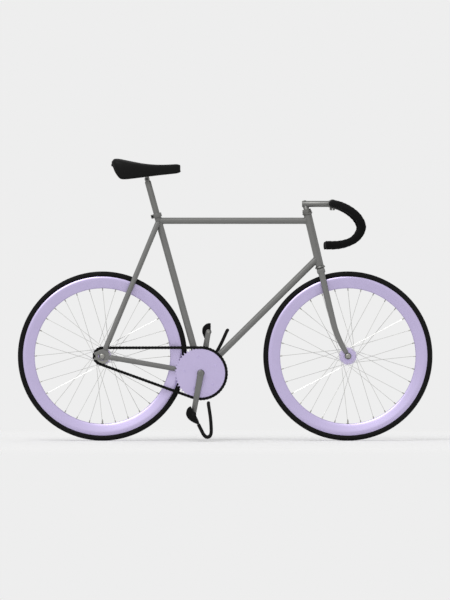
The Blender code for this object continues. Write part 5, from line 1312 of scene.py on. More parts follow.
@dataclass
class Crankset:
    """The chainring on its spider, the two cranks and the pedal spindles in their ends."""

    layout: Layout
    inner_face: float = 0.054
    thickness: float = 0.013
    width_at_spindle: float = 0.0255
    width_at_pedal: float = 0.0205
    edge: float = 0.0030
    boss_diameter: float = 0.0275
    boss_overlap: float = 0.004
    spider_thickness: float = 0.004
    spider_edge: float = 0.0012
    spider_hub_radius: float = 0.024
    valley_half_angle: float = 0.2
    bolt_circle: float = 0.065
    tab_radius: float = 0.008
    arms: int = 5
    ring_thickness: float = 0.0026
    spindle_edge: float = 0.0005
    spindle_short: float = 0.0025
    collar_edge: float = 0.0006
    spindle_flange_diameter: float = 0.018
    spindle_flange_thickness: float = 0.005
    cap: Profile = (
        (0.0, 0.0006), (0.003, 0.0006), (0.0035, 0.0012), (0.009, 0.0010), (0.0100, 0.0002),
        (0.0100, -0.001), (0.0, -0.001))
    tooth_height: float = 0.0034
    ring_bolt_radius: float = 0.0047
    ring_bolt_height: float = 0.0014
    ring_nut_radius: float = 0.0050
    ring_nut_half_height: float = 0.001

    def build(self) -> None:
        """Build the ring, the spider with its bolts, and both cranks."""
        plan = self.layout
        Sprocket(
            plan, "track_chainring", "chainring", "crankset",
            turned_round("ring", plan.bracket), plan.bracket,
            plan.ring_teeth, plan.upper_angle, self.tooth_height, self.ring_thickness,
            self.boss_diameter / 2 + RUNNING_GAP).build()
        for side in Side:
            self.build_arm(side)
            self.build_pedal_spindle(side)
        self.build_ring_bolts()

    def spider_outline(self) -> Outline:
        """Return the outline of the spider's arms, which end in round tabs."""
        step = math.tau / self.arms
        centre = self.layout.bracket
        outline = []
        for arm in range(self.arms):
            angle = math.pi / 2 + self.layout.crank_lean + arm * step
            valley = angle - step / 2
            outline += arc(
                flat(centre), self.spider_hub_radius, valley - self.valley_half_angle,
                valley + self.valley_half_angle, 4)
            tab = flat(around(centre, self.bolt_circle, angle))
            outline += arc(tab, self.tab_radius, angle - math.pi / 2, angle + math.pi / 2, 12)
        return outline

    def build_arm(self, side: Side) -> None:
        """Build a crank with its boss, its dust cap and, on the right, its spider."""
        plan = self.layout
        axle = plan.crank_end(side)
        out = ACROSS * side.value
        middle = self.inner_face + self.thickness / 2
        outline = link_outline(
            plan.bracket, self.width_at_spindle / 2, axle, self.width_at_pedal / 2, 24)
        arm = Form().plate(
            outline, self.thickness, side_view(side.value * middle), self.edge, 4)
        start = plan.shell_width / 2 + plan.shell_flange_thickness + 2 * RUNNING_GAP
        end = self.inner_face + self.boss_overlap
        arm.rod(plan.bracket + out * start, plan.bracket + out * end, self.boss_diameter / 2,
                self.collar_edge, 48)
        if side is Side.RIGHT:
            face = plan.chain_line - self.ring_thickness / 2 - GAP
            arm.plate(
                self.spider_outline(), self.spider_thickness,
                side_view(-(face - self.spider_thickness / 2)), self.spider_edge, 3)
        arm.piece(f"{side.label}_crank", "crankset", GREY_ALLOY, f"crank_arm_{side.label}")
        face = self.inner_face + self.thickness
        Form().turn(
            self.cap, toward(plan.bracket + out * face, out), 40, closed=False).piece(
                f"{side.label}_crank_cap", "crankset", GREY_ALLOY)

    def build_ring_bolts(self) -> None:
        """Build the five low bolts that hold the ring on the spider, dyed as the ring is."""
        plan = self.layout
        bolts = Form()
        face = plan.chain_line + self.ring_thickness / 2
        for arm in range(self.arms):
            angle = math.pi / 2 + plan.crank_lean + arm * math.tau / self.arms
            middle = around(plan.bracket, self.bolt_circle, angle)
            bolts.socket_bolt(
                middle - ACROSS * (face - 0.0002), -ACROSS, self.ring_bolt_radius,
                self.ring_bolt_height)
            nut = middle - ACROSS * (face - self.ring_thickness - self.spider_thickness)
            half = ACROSS * self.ring_nut_half_height
            bolts.rod(nut + half, nut - half, self.ring_nut_radius, 0.0004)
        bolts.piece("chainring_bolts", "crankset", LAVENDER)

    def build_pedal_spindle(self, side: Side) -> None:
        """Build a pedal's spindle with the collar that it is screwed in by."""
        radius = self.layout.pedal_axle_diameter / 2
        collar = self.spindle_flange_diameter / 2
        deep = self.spindle_flange_thickness
        start = self.inner_face + self.thickness + GAP
        end = deep + RUNNING_GAP + self.layout.pedal_width - self.spindle_short
        out = ACROSS * side.value
        axle = self.layout.crank_end(side)
        Form().turn(
            [(0.0, end), *chamfered(radius, end, self.spindle_edge), (radius, deep),
             *chamfered(collar, deep, self.collar_edge),
             *chamfered(collar, 0.0, -self.collar_edge)[::-1], (radius, 0.0),
             (radius, -self.thickness), (radius - 0.0008, -self.thickness - GAP),
             (0.0, -self.thickness - GAP)],
            toward(axle + out * start, out), 32, closed=False).piece(
                f"{side.label}_pedal_spindle", "crankset", PLATED_STEEL,
                f"pedal_spindle_{side.label}")


@dataclass
class Pedal:
    """A cage pedal on its barrel, with the open toe clip that is bolted to its front."""

    layout: Layout
    side: Side
    toe_down: float
    inner_face: float = 0.0731
    plate: float = 0.005
    plate_edge: float = 0.0011
    behind: float = 0.036
    ahead: float = 0.042
    above: float = 0.008
    below: float = 0.025
    corners: Profile = ((0.95, 0.1), (0.55, 0.64), (0.1, 1.0), (-0.45, 1.0), (-0.9, 0.45))
    bar: float = 0.008
    bar_height: float = 1.3
    bar_edge: float = 0.0016
    bar_ends: float = 0.6
    bar_inset: float = 0.0012
    bar_drop: float = 0.0068
    barrel_diameter: float = 0.024
    barrel_ends: float = 0.4
    waist_depth: float = 0.0018
    barrel_shoulders: tuple[float, float] = (0.55, 0.4)
    dust_cap: Profile = (
        (0.0, 0.0011), (0.0055, 0.0010), (0.0066, 0.0004), (0.0068, -0.0008), (0.0, -0.0008))
    clip_rod: float = 0.0134
    clip_reach: float = 0.1115
    clip_rise: float = 0.0815
    clip_end_behind: float = 0.014
    clip_half_width: float = 0.0285
    clip_top_half_width: float = 0.012
    clip_foot: float = 0.0005
    foot_plate: tuple[float, float] = (0.0028, 0.0125)
    foot_edge: float = 0.0009
    foot_height: float = 0.001
    foot_bolt_spread: float = 0.013
    foot_bolt_radius: float = 0.0030
    foot_bolt_height: float = 0.0026
    clip_shape: Sequence[tuple[float, float, float]] = (
        (0.636, 0.005, 1.03), (0.828, 0.005, 1.03), (0.954, 0.067, 1.01), (1.0, 0.20, 0.99),
        (0.949, 0.348, 0.97), (0.809, 0.475, 0.93), (0.482, 0.682, 0.80), (0.197, 0.829, 0.66))

    def build(self) -> None:
        """Build the cage, the barrel and the clip."""
        self.label = self.side.label
        self.body = f"pedal_{self.label}"
        self.axle = self.layout.crank_end(self.side)
        self.toe = at(math.cos(self.toe_down), -math.sin(self.toe_down))
        self.up = at(math.sin(self.toe_down), math.cos(self.toe_down))
        self.centre = self.axle + ACROSS * self.side.value * (
            self.inner_face + self.layout.pedal_width / 2)
        self.build_cage()
        self.build_clip()

    def spot(self, along: float, above: float, across: float = 0.0) -> Vector:
        """Return the point that far towards the toe, above the axle and to the left."""
        return self.centre + self.toe * along + self.up * above + ACROSS * across

    def build_cage(self) -> None:
        """Build the two side plates, the bars between them, the barrel and its dust cap."""
        corners = [(-self.behind, self.above), (self.ahead, self.above)] + [
            (share * self.ahead if share > 0 else share * self.behind, -self.below * down)
            for share, down in self.corners]
        outline = [flat(self.spot(*corner)) for corner in rounded(corners, 2)]
        half = self.layout.pedal_width / 2
        cage = Form()
        for hand in Side:
            y = self.centre.y + hand.value * (half - self.plate / 2)
            cage.plate(outline, self.plate, side_view(y), self.plate_edge, 3)
        inside = half - self.plate * self.bar_ends
        inset = self.bar / 2 + self.bar_inset
        for along in (self.ahead - inset, inset - self.behind):
            place = tilted(self.spot(along, self.above - self.bar_drop), self.toe_down)
            cage.block((self.bar, 2 * inside, self.bar * self.bar_height), place, self.bar_edge)
        cage.piece(f"{self.label}_pedal_cage", self.body, BLACK_STEEL, self.body)
        bore = self.layout.pedal_axle_diameter / 2 + RUNNING_GAP
        radius = self.barrel_diameter / 2
        reach = half - self.plate * self.barrel_ends
        shoulder, waist = self.barrel_shoulders
        right = [(bore, -reach), (radius, -reach), (radius, -reach * shoulder),
                 (radius - self.waist_depth, -reach * waist)]
        barrel = Form().turn(
            right + mirrored(right[::-1]), toward(self.centre, ACROSS), 40)
        out = ACROSS * self.side.value
        barrel.turn(self.dust_cap, toward(self.centre + out * half, out), 32, closed=False)
        barrel.piece(f"{self.label}_pedal_barrel", self.body, RESIN)

    def build_clip(self) -> None:
        """Build the toe clip as one bent rod, and its foot plate with two bolts."""
        radius = self.clip_rod / 2
        reach, rise = self.clip_reach - radius, self.clip_rise - radius
        end = radius - self.clip_end_behind
        half = [(self.ahead + 3 * GAP, self.clip_foot, self.clip_half_width)]
        half += [(reach * a, rise * b, self.clip_half_width * c) for a, b, c in self.clip_shape]
        half.append((end, rise - radius / 2, self.clip_top_half_width))
        left = [self.spot(a, b, c) for a, b, c in half]
        right = [self.spot(a, b, -c) for a, b, c in half]
        path = smooth_path(left + [self.spot(end - radius, rise)] + right[::-1], 6)
        clip = Form().sweep(path, radius, 16)
        thick, high = self.foot_plate
        front = self.ahead + thick / 2
        place = tilted(self.spot(front, self.foot_height), self.toe_down)
        clip.block((thick, 2 * self.clip_half_width, high), place, self.foot_edge)
        clip.piece(f"{self.label}_toe_clip", self.body, RESIN, f"toe_clip_{self.label}", sharp=50)
        bolts = Form()
        for hand in Side:
            bolts.socket_bolt(
                self.spot(front + 0.0012, self.foot_height, hand.value * self.foot_bolt_spread),
                self.toe, self.foot_bolt_radius, self.foot_bolt_height)
        bolts.piece(f"{self.label}_toe_clip_bolts", self.body, BLACK_STEEL)


@dataclass
class MainFrame:
    """The main tubes, the stays and the track ends, brazed into one frame."""

    layout: Layout
    head_bore: float = 0.0302
    head_edge: float = 0.0004
    top_diameter: float = 0.0254
    down_diameter: float = 0.0262
    seat_edge: float = 0.0003
    seat_sink: float = 0.0008
    shell_diameter: float = 0.040
    shell_bore: float = 0.0348
    shell_edge: float = 0.0008
    flange_diameter: float = 0.038
    seal_curve: Profile = ((0.0, -0.0012), (0.004, -0.0010))
    flange_curve: Profile = ((-0.006, -0.0008), (-0.005, 0.0), (-0.0004, 0.0), (0.0, -0.0004))
    spindle_diameter: float = 0.017
    chainstay_diameters: tuple[float, float, float] = (0.0215, 0.0198, 0.0195)
    chainstay_sink: float = 0.0035
    chainstay_spreads: tuple[float, float, float, float] = (0.0205, 0.023, 0.0255, 0.029)
    seatstay_diameters: tuple[float, float] = (0.0195, 0.0205)
    seatstay_top_spread: float = 0.0165
    seatstay_setback: float = 0.012
    stay_start: float = 0.036
    tyre_half_width: float = 0.012
    tyre_stretch: float = 0.053
    bridge_diameter: float = 0.011
    seatstay_bridge: float = 0.355
    chainstay_bridge: float = 0.353
    rear_spacing: float = 0.120
    end_thickness: float = 0.006
    end_height: float = 0.030
    end_edge: float = 0.0007
    end_corner: float = 0.002
    slot_length: float = 0.042
    slot_edge: float = 0.0006
    slot_ahead: float = 0.010
    foot_ahead: float = 0.0105
    tab_reach: float = 0.056
    tab_width: float = 0.0095
    axle_diameter: float = 0.010
    bead: float = 0.0019
    steps: int = 48

    def build(self) -> None:
        """Build the frame from the shell outwards."""
        plan = self.layout
        self.end_middle = self.rear_spacing / 2 + self.end_thickness / 2
        self.shell = Tube(plan.bracket, ACROSS, self.shell_diameter / 2)
        self.seat = Tube(plan.bracket, plan.seat_up, plan.seat_tube_diameter / 2)
        self.head = Tube(plan.head_top, plan.steer_up, plan.head_tube_diameter / 2)
        self.beads = Form()
        self.build_shell()
        self.build_main_tubes()
        self.build_stays()
        self.build_track_ends()
        self.beads.piece("brazed_fillets", "frame", FRAME_PAINT, sharp=60)

    def build_shell(self) -> None:
        """Build the bottom bracket shell, and the cartridge that is screwed into it."""
        half = self.layout.shell_width / 2
        outer, bore, edge = self.shell_diameter / 2, self.shell_bore / 2, self.shell_edge
        axis = toward(self.layout.bracket, ACROSS)
        corner = chamfered(outer, half, edge)
        Form().turn(
            corner + mirrored(corner[::-1]) + [(bore, -half), (bore, half)], axis, 64).piece(
                "bracket_shell", "frame", FRAME_PAINT, "bottom_bracket_shell")
        end = half + GAP + self.layout.shell_flange_thickness
        flange, spindle = self.flange_diameter / 2, self.spindle_diameter / 2 + RUNNING_GAP
        left = [
            *moved(self.seal_curve, spindle, end), *moved(self.flange_curve, flange, end),
            (flange, half + GAP), (bore - GAP, half + GAP)]
        Form().turn(left + mirrored(left[::-1]), axis, 48).piece(
            "bracket_cartridge", "frame", BLACK_STEEL, "bottom_bracket_cartridge")

    def paint(self, form: Form, node: str) -> None:
        """Make the form the painted piece that stands for a tube or a stay."""
        form.piece(node + "_painted", "frame", FRAME_PAINT, node, sharp=45)

    def fillet(self, start: Vector, along: Vector, radius: float,
               mains: Sequence[Tube]) -> None:
        """Add the brazed fillet round the foot of a tube.

        Args:
            start: A point of the tube's axis, inside the tubes that it meets.
            along: The direction that the tube leaves in.
            radius: The tube's radius.
            mains: The tubes that it meets.
        """
        line = joint_line(start, along, radius, mains)
        self.beads.sweep(line, self.bead, 10, closed=True, up=along)

    def build_main_tubes(self) -> None:
        """Build the head, seat, top and down tubes, mitred onto each other."""
        plan = self.layout
        radius, bore = plan.head_tube_diameter / 2, self.head_bore / 2
        length = (plan.head_top - plan.head_bottom).length
        Form().turn(
            [(bore, 0.0), *chamfered(radius, 0.0, -self.head_edge),
             *chamfered(radius, length, self.head_edge)[::-1], (bore, length)],
            toward(plan.head_bottom, plan.steer_up), self.steps).piece(
                "head_tube_painted", "frame", FRAME_PAINT, "head_tube")

        inside = math.sqrt(self.shell.radius ** 2 - self.seat.radius ** 2) - self.seat_sink
        foot = plan.bracket + plan.seat_up * inside
        length = (plan.seat_tube_top - foot).length
        bore = plan.seatpost_diameter / 2 + GAP
        radius = plan.seat_tube_diameter / 2
        Form().turn(
            [*chamfered(radius, length, self.seat_edge), (radius, 0.0), (bore, 0.0),
             (bore, length)], toward(foot, plan.seat_up), self.steps).piece(
                "seat_tube_painted", "frame", FRAME_PAINT, "seat_tube")
        self.fillet(foot, plan.seat_up, radius, [self.shell])

        top_joint = plan.on_steering_axis(plan.top_tube_height)
        down_joint = plan.on_steering_axis(plan.down_tube_joint)
        for name, start, end, diameter, mains in (
                ("top_tube", plan.cluster, top_joint, self.top_diameter, [self.seat]),
                ("down_tube", plan.bracket, down_joint, self.down_diameter,
                 [self.shell, self.seat])):
            self.paint(Form().sweep(
                [start, end], diameter / 2, self.steps, onto=(mains, [self.head])), name)
            along = (end - start).normalized()
            self.fillet(start, along, diameter / 2, mains)
            self.fillet(end, -along, diameter / 2, [self.head])

    def chainstay_path(self, side: Side) -> list[Vector]:
        """Return a chainstay's middle line, from the shell to the track end."""
        plan = self.layout
        wide = self.chainstay_spreads
        length, tyre = plan.chainstay_length, plan.tyre_radius
        knots = [
            (length - self.shell_diameter / 2 + self.chainstay_sink, wide[0]),
            ((length + tyre) / 2, wide[1]),
            (tyre - self.tyre_half_width, wide[2]), (tyre - self.tyre_stretch, wide[3]),
            (tyre / 2, (wide[2] + self.end_middle) / 2), (self.stay_start, self.end_middle)]
        return smooth_path(
            [plan.rear_axle + plan.to_bracket * along + ACROSS * side.value * y
             for along, y in knots], 8)

    def seatstay_line(self, side: Side) -> tuple[Vector, Vector]:
        """Return the foot and the top of a seatstay's middle line."""
        plan = self.layout
        out = ACROSS * side.value
        foot = plan.rear_axle + plan.to_cluster * self.stay_start + out * self.end_middle
        top = plan.cluster - plan.to_cluster * self.seatstay_setback
        return foot, top + out * self.seatstay_top_spread

    def build_stays(self) -> None:
        """Build the chainstays, the seatstays with domed ends, and the bridges between them."""
        front, middle, rear = [diameter / 2 for diameter in self.chainstay_diameters]
        bottom, top = [diameter / 2 for diameter in self.seatstay_diameters]
        lines = {}
        for side in Side:
            path = self.chainstay_path(side)
            radii = spread(front, middle, 17) + spread(middle, rear, len(path) - 17)
            path, radii = domed(path, radii, STAY_DOME)
            self.paint(Form().sweep(path, radii, 36, onto=([self.shell], ())),
                       f"chainstay_{side.label}")
            self.fillet(path[0], (path[1] - path[0]).normalized(), front, [self.shell])

            foot, head = self.seatstay_line(side)
            along = (head - foot).normalized()
            line = [head.lerp(foot, share) for share in spread(0.0, 1.0, 9)]
            line, radii = domed(line, spread(top, bottom, 9), STAY_DOME)
            line, radii = domed(line[::-1], radii[::-1], STAY_DOME)
            self.paint(Form().sweep(line, radii, 36), f"seatstay_{side.label}")
            lines[side] = (foot, head, along)

        radius = self.bridge_diameter / 2
        ends, tubes = [], []
        for side in Side:
            foot, head, along = lines[side]
            share = (self.seatstay_bridge - self.stay_start) / (head - foot).length
            ends.append(foot.lerp(head, share))
            tubes.append(Tube(foot, along, bottom + (top - bottom) * share))
        self.bridge("seatstay_bridge", ends, tubes, radius)
        ends, tubes = [], []
        for side in Side:
            path = self.chainstay_path(side)
            near = min(path, key=lambda point: abs(
                (point - self.layout.rear_axle).dot(self.layout.to_bracket)
                - self.chainstay_bridge))
            ends.append(near)
            tubes.append(Tube(near, self.layout.to_bracket, middle))
        self.bridge("chainstay_bridge", ends, tubes, radius)

    def bridge(self, name: str, ends: Sequence[Vector], tubes: Sequence[Tube],
               radius: float) -> None:
        """Build a bridge between two stays, with its fillets."""
        start, end = ends
        self.paint(Form().sweep([start, end], radius, 24, onto=([tubes[0]], [tubes[1]])), name)
        along = (end - start).normalized()
        self.fillet(start, along, radius, [tubes[0]])
        self.fillet(end, -along, radius, [tubes[1]])

    def build_track_ends(self) -> None:
        """Build the two track ends, whose slots are open to the rear."""
        plan = self.layout
        x, z = plan.rear_axle.x, plan.rear_axle.z
        half, tab = self.end_height / 2, self.tab_width / 2
        slot = self.axle_diameter / 2 + GAP
        slot_front = x + self.slot_ahead
        back = slot_front - self.slot_length

        def beside(direction: Vector, reach: float, offset: float) -> tuple[float, float]:
            """Return the point that far along a direction and to its left."""
            point = plan.rear_axle + direction * reach
            return point.x - direction.z * offset, point.z + direction.x * offset
        shell, cluster = plan.to_bracket, plan.to_cluster
        cut, nick = self.end_corner, self.slot_edge
        corners = [(back + cut, z - half), (x + self.foot_ahead, z - half)]
        for way in (shell, cluster):
            corners += [beside(way, self.end_height, -tab), beside(way, self.tab_reach, -tab),
                        beside(way, self.tab_reach, tab), beside(way, self.end_height, tab)]
        corners += [(back + cut, z + half), (back, z + half - cut), (back, z + slot + nick),
                    (back + nick, z + slot)]
        corners += arc((slot_front - slot, z), slot, math.pi / 2, -math.pi / 2, 14)
        corners += [(back + nick, z - slot), (back, z - slot - nick), (back, z - half + cut)]
        for side in Side:
            Form().plate(
                corners, self.end_thickness, side_view(side.value * self.end_middle),
                self.end_edge).piece(
                    f"track_plate_{side.label}", "frame", FRAME_PAINT,
                    f"track_end_{side.label}")


@dataclass
class SeatClamp:
    """The split collar round the top of the seat tube, with its cross bolt."""

    layout: Layout
    height: float = 0.016
    thickness: float = 0.0045
    ear: float = 0.011
    split: float = 0.0015
    edge: float = 0.0008
    ear_rounding: float = 0.003
    bolt_radius: float = 0.0025
    bolt_place: float = 0.6
    bolt_sink: float = 0.0004
    bolt: Bolt = Bolt(0.0042, 0.0036, 0.0045, 0.002, 0.0030)

    def build(self) -> None:
        """Build the collar and its bolt."""
        plan = self.layout
        inner = plan.seat_tube_diameter / 2 + GAP
        outer = inner + self.thickness
        reach, wide, gap = inner + self.ear, self.ear / 2, self.split / 2
        back = -at(plan.seat_up.z, -plan.seat_up.x)
        middle = plan.seat_tube_top - plan.seat_up * self.height / 2
        start, hole = math.asin(wide / outer), math.asin(gap / inner)
        ear = [(reach, gap), (reach, wide - self.ear_rounding),
               (reach - self.ear_rounding, wide)]
        outline = ear + arc((0.0, 0.0), outer, start, math.tau - start, 44)
        outline += mirrored(ear[::-1]) + arc((0.0, 0.0), inner, -hole, hole - math.tau, 44)
        place = Matrix.Translation(middle) @ axes(back, -ACROSS, plan.seat_up)
        Form().plate(outline, self.height, place, self.edge).piece(
            "seat_tube_collar", "frame", GREY_ALLOY, "seat_clamp")
        bolt = Form()
        at_ears = middle + back * (inner + self.ear * self.bolt_place)
        bolt.rod(at_ears - ACROSS * (wide + 0.001), at_ears + ACROSS * wide, self.bolt_radius)
        bolt.cross_bolt(at_ears, ACROSS * (wide - self.bolt_sink), self.bolt)
        bolt.piece("seat_collar_bolt", "frame", BLACK_STEEL)


@dataclass
class Headset:
    """The two pressed cups in the head tube, and the adjusting nut and locknut on the fork."""

    layout: Layout
    cup_diameter: float = 0.040
    bore_diameter: float = 0.0270
    skirt_diameter: float = 0.0296
    skirt_length: float = 0.008
    nut_diameter: float = 0.037
    locknut_diameter: float = 0.0326
    step_height: float = 0.0065
    lip_curve: Profile = ((-0.0016, 0.0), (-0.0006, -0.0004), (0.0, -0.0012))
    waist: Profile = ((0.0, 0.62), (-0.0006, 0.52), (-0.0012, 0.40))
    foot_curve: Profile = ((0.0010, 0.0016), (0.0, 0.0010))
    nut_foot: Profile = ((-0.0005, 0.0), (0.0, 0.0005))
    nut_top: Profile = ((0.0, -0.0012), (-0.0010, -0.0003))

    def build(self) -> None:
        """Build both cups and the nuts."""
        plan = self.layout
        high, outer = plan.cup_height, self.cup_diameter / 2
        tube, skirt, bore = [
            diameter / 2 for diameter in (
                plan.head_tube_diameter, self.skirt_diameter, self.bore_diameter)]
        profile = [
            (bore, high - 0.0004), *moved(self.lip_curve, outer, high),
            *[(outer + out, high * share) for out, share in self.waist],
            *moved(self.foot_curve, tube), (tube, GAP), (skirt, GAP),
            (skirt, -self.skirt_length), (bore, -self.skirt_length)]
        for name, start, up in (("upper", plan.head_top, plan.steer_up),
                                ("lower", plan.head_bottom, -plan.steer_up)):
            Form().turn(profile, toward(start, up), 48).piece(
                f"pressed_{name}_cup", "frame", GREY_ALLOY, f"headset_{name}_cup")
        foot = plan.head_top + plan.steer_up * (high + GAP)
        radius, hole = self.nut_diameter / 2, plan.steerer_diameter / 2 + GAP
        step = self.step_height
        top = moved(self.nut_top, radius, step)
        nuts = Form().turn(
            [(hole, 0.0), *moved(self.nut_foot, radius), *top, (hole, top[-1][1])],
            toward(foot, plan.steer_up), 48)
        nuts.nut(
            foot + plan.steer_up * step, plan.steer_up, self.locknut_diameter / 2 + 0.0006,
            hole, plan.locknut_height - step, chamfer=0.0007)
        nuts.piece("headset_nuts", "fork", GREY_ALLOY, "headset_locknut")


@dataclass
class Fork:
    """The crown, and the two raked and tapered blades with their fork ends."""

    layout: Layout
    race_diameter: float = 0.0318
    crown_depth: float = 0.032
    crown_rounding: float = 0.0050
    race_foot: Profile = ((0.0014, 0.0), (0.0, 0.0012))
    race_sink: float = 0.0005
    blade_spread: float = 0.029
    blade_diameters: tuple[float, float] = (0.025, 0.019)
    bend_above_axle: float = 0.161
    curve: Profile = ((0.62, 0.08), (0.32, 0.40))
    spacing: float = 0.100
    end_thickness: float = 0.0055
    end_width: float = 0.024
    end_edge: float = 0.0007
    end_tab: float = 0.030
    end_tab_width: float = 0.010
    axle_diameter: float = 0.009

    def knots(self, side: Side) -> list[Vector]:
        """Return the knots of a blade's middle line, from the crown to its fork end."""
        plan = self.layout
        top = (plan.crown_top + plan.crown_bottom) / 2
        axle = plan.front_axle
        bend = plan.on_steering_axis(axle.z + self.bend_above_axle)
        lower, near = [
            plan.on_steering_axis(axle.z + self.bend_above_axle * height)
            + plan.steer_forward * plan.fork_rake * rake for height, rake in self.curve]
        self.toward_blade = (near - axle).normalized()
        foot = axle + self.toward_blade * self.blade_diameters[1]
        line, whole = (top, bend, lower, near, foot), (top - foot).length
        wide = self.spacing / 2 + self.end_thickness / 2 - self.blade_spread
        return [
            point + ACROSS * side.value * (
                self.blade_spread + wide * (top - point).length / whole) for point in line]

    def build(self) -> None:
        """Build the crown with its race, then the blades and their ends."""
        plan = self.layout
        middle = (plan.crown_top + plan.crown_bottom) / 2
        top, bottom = [diameter / 2 for diameter in self.blade_diameters]
        half_width = self.blade_spread + top
        crown = Form().block(
            (self.crown_depth, 2 * half_width, plan.crown_height),
            tilted(middle, plan.head_angle - math.pi / 2), self.crown_rounding, 5)
        radius, bore = self.race_diameter / 2, plan.steerer_diameter / 2 + GAP
        base = plan.crown_height / 2 - self.race_sink
        top_face = base + plan.race_height + self.race_sink
        crown.turn(
            [(bore, base), *moved(self.race_foot, radius, base),
             (radius, base + plan.race_height), (radius - 0.0006, top_face), (bore, top_face)],
            toward(middle, plan.steer_up), 48)
        crown.piece("brazed_fork_crown", "fork", FRAME_PAINT, "fork_crown")
        for side in Side:
            path = smooth_path(self.knots(side), 10)
            blade = Form().sweep(
                *domed(path, spread(top, bottom, len(path)), BLADE_DOME), 36)
            blade.plate(
                self.end_outline(), self.end_thickness,
                side_view(side.value * (self.spacing + self.end_thickness) / 2), self.end_edge)
            blade.piece(f"raked_blade_{side.label}", "fork", FRAME_PAINT,
                        f"fork_blade_{side.label}", sharp=45)

    def end_outline(self) -> Outline:
        """Return a fork end's outline, with the slot that the axle drops out of."""
        axle, up = self.layout.front_axle, self.toward_blade
        centre, radius, tab = flat(axle), self.end_width / 2, self.end_tab_width / 2
        half = self.axle_diameter / 2 + GAP
        angle = math.atan2(up.z, up.x)
        start = angle + math.asin(tab / radius)
        mouth = math.asin(half / radius)
        down = 1.5 * math.pi
        tip = axle + up * self.end_tab
        outline = [flat(tip + at(-up.z, up.x) * tab * hand) for hand in (-1, 1)]
        outline += arc(centre, radius, start, down - mouth, 20)
        outline += arc(centre, half, math.pi, 0.0, 12)
        return outline + arc(centre, radius, down + mouth, 2 * (angle + math.pi) - start, 20)


@dataclass
class Stem:
    """The quill stem, shaped like a 7, with its round handlebar clamp and its bolts."""

    layout: Layout
    diameter: float = 0.0245
    quill_diameter: float = 0.0222
    insertion: float = 0.120
    clamp_diameter: float = 0.036
    clamp_width: float = 0.038
    clamp_edge: float = 0.0022
    slot: float = 0.0018
    fillet: float = 0.0016
    corner_chamfer: tuple[float, float] = (0.0014, 0.0012)
    ear_reach: float = 0.0085
    ear_radius: float = 0.0062
    ear_drop: float = 0.0012
    clamp_bolt: Bolt = Bolt(0.0042, 0.0026, 0.0046, 0.002, 0.0026)
    sink: float = 0.0004
    collar_radius: float = 0.0072
    collar_heights: tuple[float, float] = (-0.002, 0.0006)
    quill_bolt_radius: float = 0.0048
    quill_bolt_height: float = 0.0022

    def build(self) -> None:
        """Build the quill, the extension and the clamp as one forging, then its bolts."""
        plan = self.layout
        radius, quill = self.diameter / 2, self.quill_diameter / 2
        nuts_top = plan.head_top + plan.steer_up * (plan.cup_height + GAP + plan.locknut_height)
        foot = nuts_top - plan.steer_up * self.insertion
        stem = Form().rod(foot, plan.stem_top, quill, 0.0008, 40)
        corner = plan.stem_top - at(radius, 0.0)
        clamp = Tube(plan.bar_centre, ACROSS, self.clamp_diameter / 2)
        stem.sweep(
            [corner, corner + FORWARD * self.corner_chamfer[0], plan.bar_centre],
            [radius - self.corner_chamfer[1], radius, radius], 40, onto=((), [clamp]))
        main = Tube(plan.stem_top, FORWARD, radius)
        for start, way, size, tube in (
                (plan.stem_top, plan.steer_up, quill, main),
                (plan.bar_centre, FORWARD, radius, clamp)):
            stem.sweep(
                joint_line(start, -way, size, [tube]), self.fillet, 10, closed=True, up=way)
        centre = flat(plan.bar_centre)
        outer, inner = self.clamp_diameter / 2, plan.bar_clamp_diameter / 2 + RUNNING_GAP / 2
        mouth, gap = math.asin(self.slot / 2 / outer), math.asin(self.slot / 2 / inner)
        down = -math.pi / 2
        outline = arc(centre, outer, down + mouth, down - mouth + math.tau, 64)
        outline += arc(centre, inner, down - gap, down + gap - math.tau, 64)
        stem.plate(outline, self.clamp_width, side_view(0.0), self.clamp_edge, 3)
        ears = plan.bar_centre - UP * (outer + self.ear_drop)
        for hand in (-1, 1):
            stem.rod(
                ears + FORWARD * hand * self.slot / 2, ears + FORWARD * hand * self.ear_reach,
                self.ear_radius, 0.0006, 28)
        stem.piece("forged_quill_stem", "stem", GREY_ALLOY, "stem", sharp=45)
        bolts = Form().cross_bolt(
            ears, FORWARD * (self.ear_reach - self.sink), self.clamp_bolt)
        up = plan.steer_up
        top = plan.stem_top + up * (radius / up.z - 2 * self.sink)
        low, high = self.collar_heights
        bolts.rod(top + up * low, top + up * high, self.collar_radius, self.sink, 32)
        bolts.socket_bolt(
            top + up * self.sink, up, self.quill_bolt_radius, self.quill_bolt_height)
        bolts.piece("stem_bolts", "stem", GREY_ALLOY)


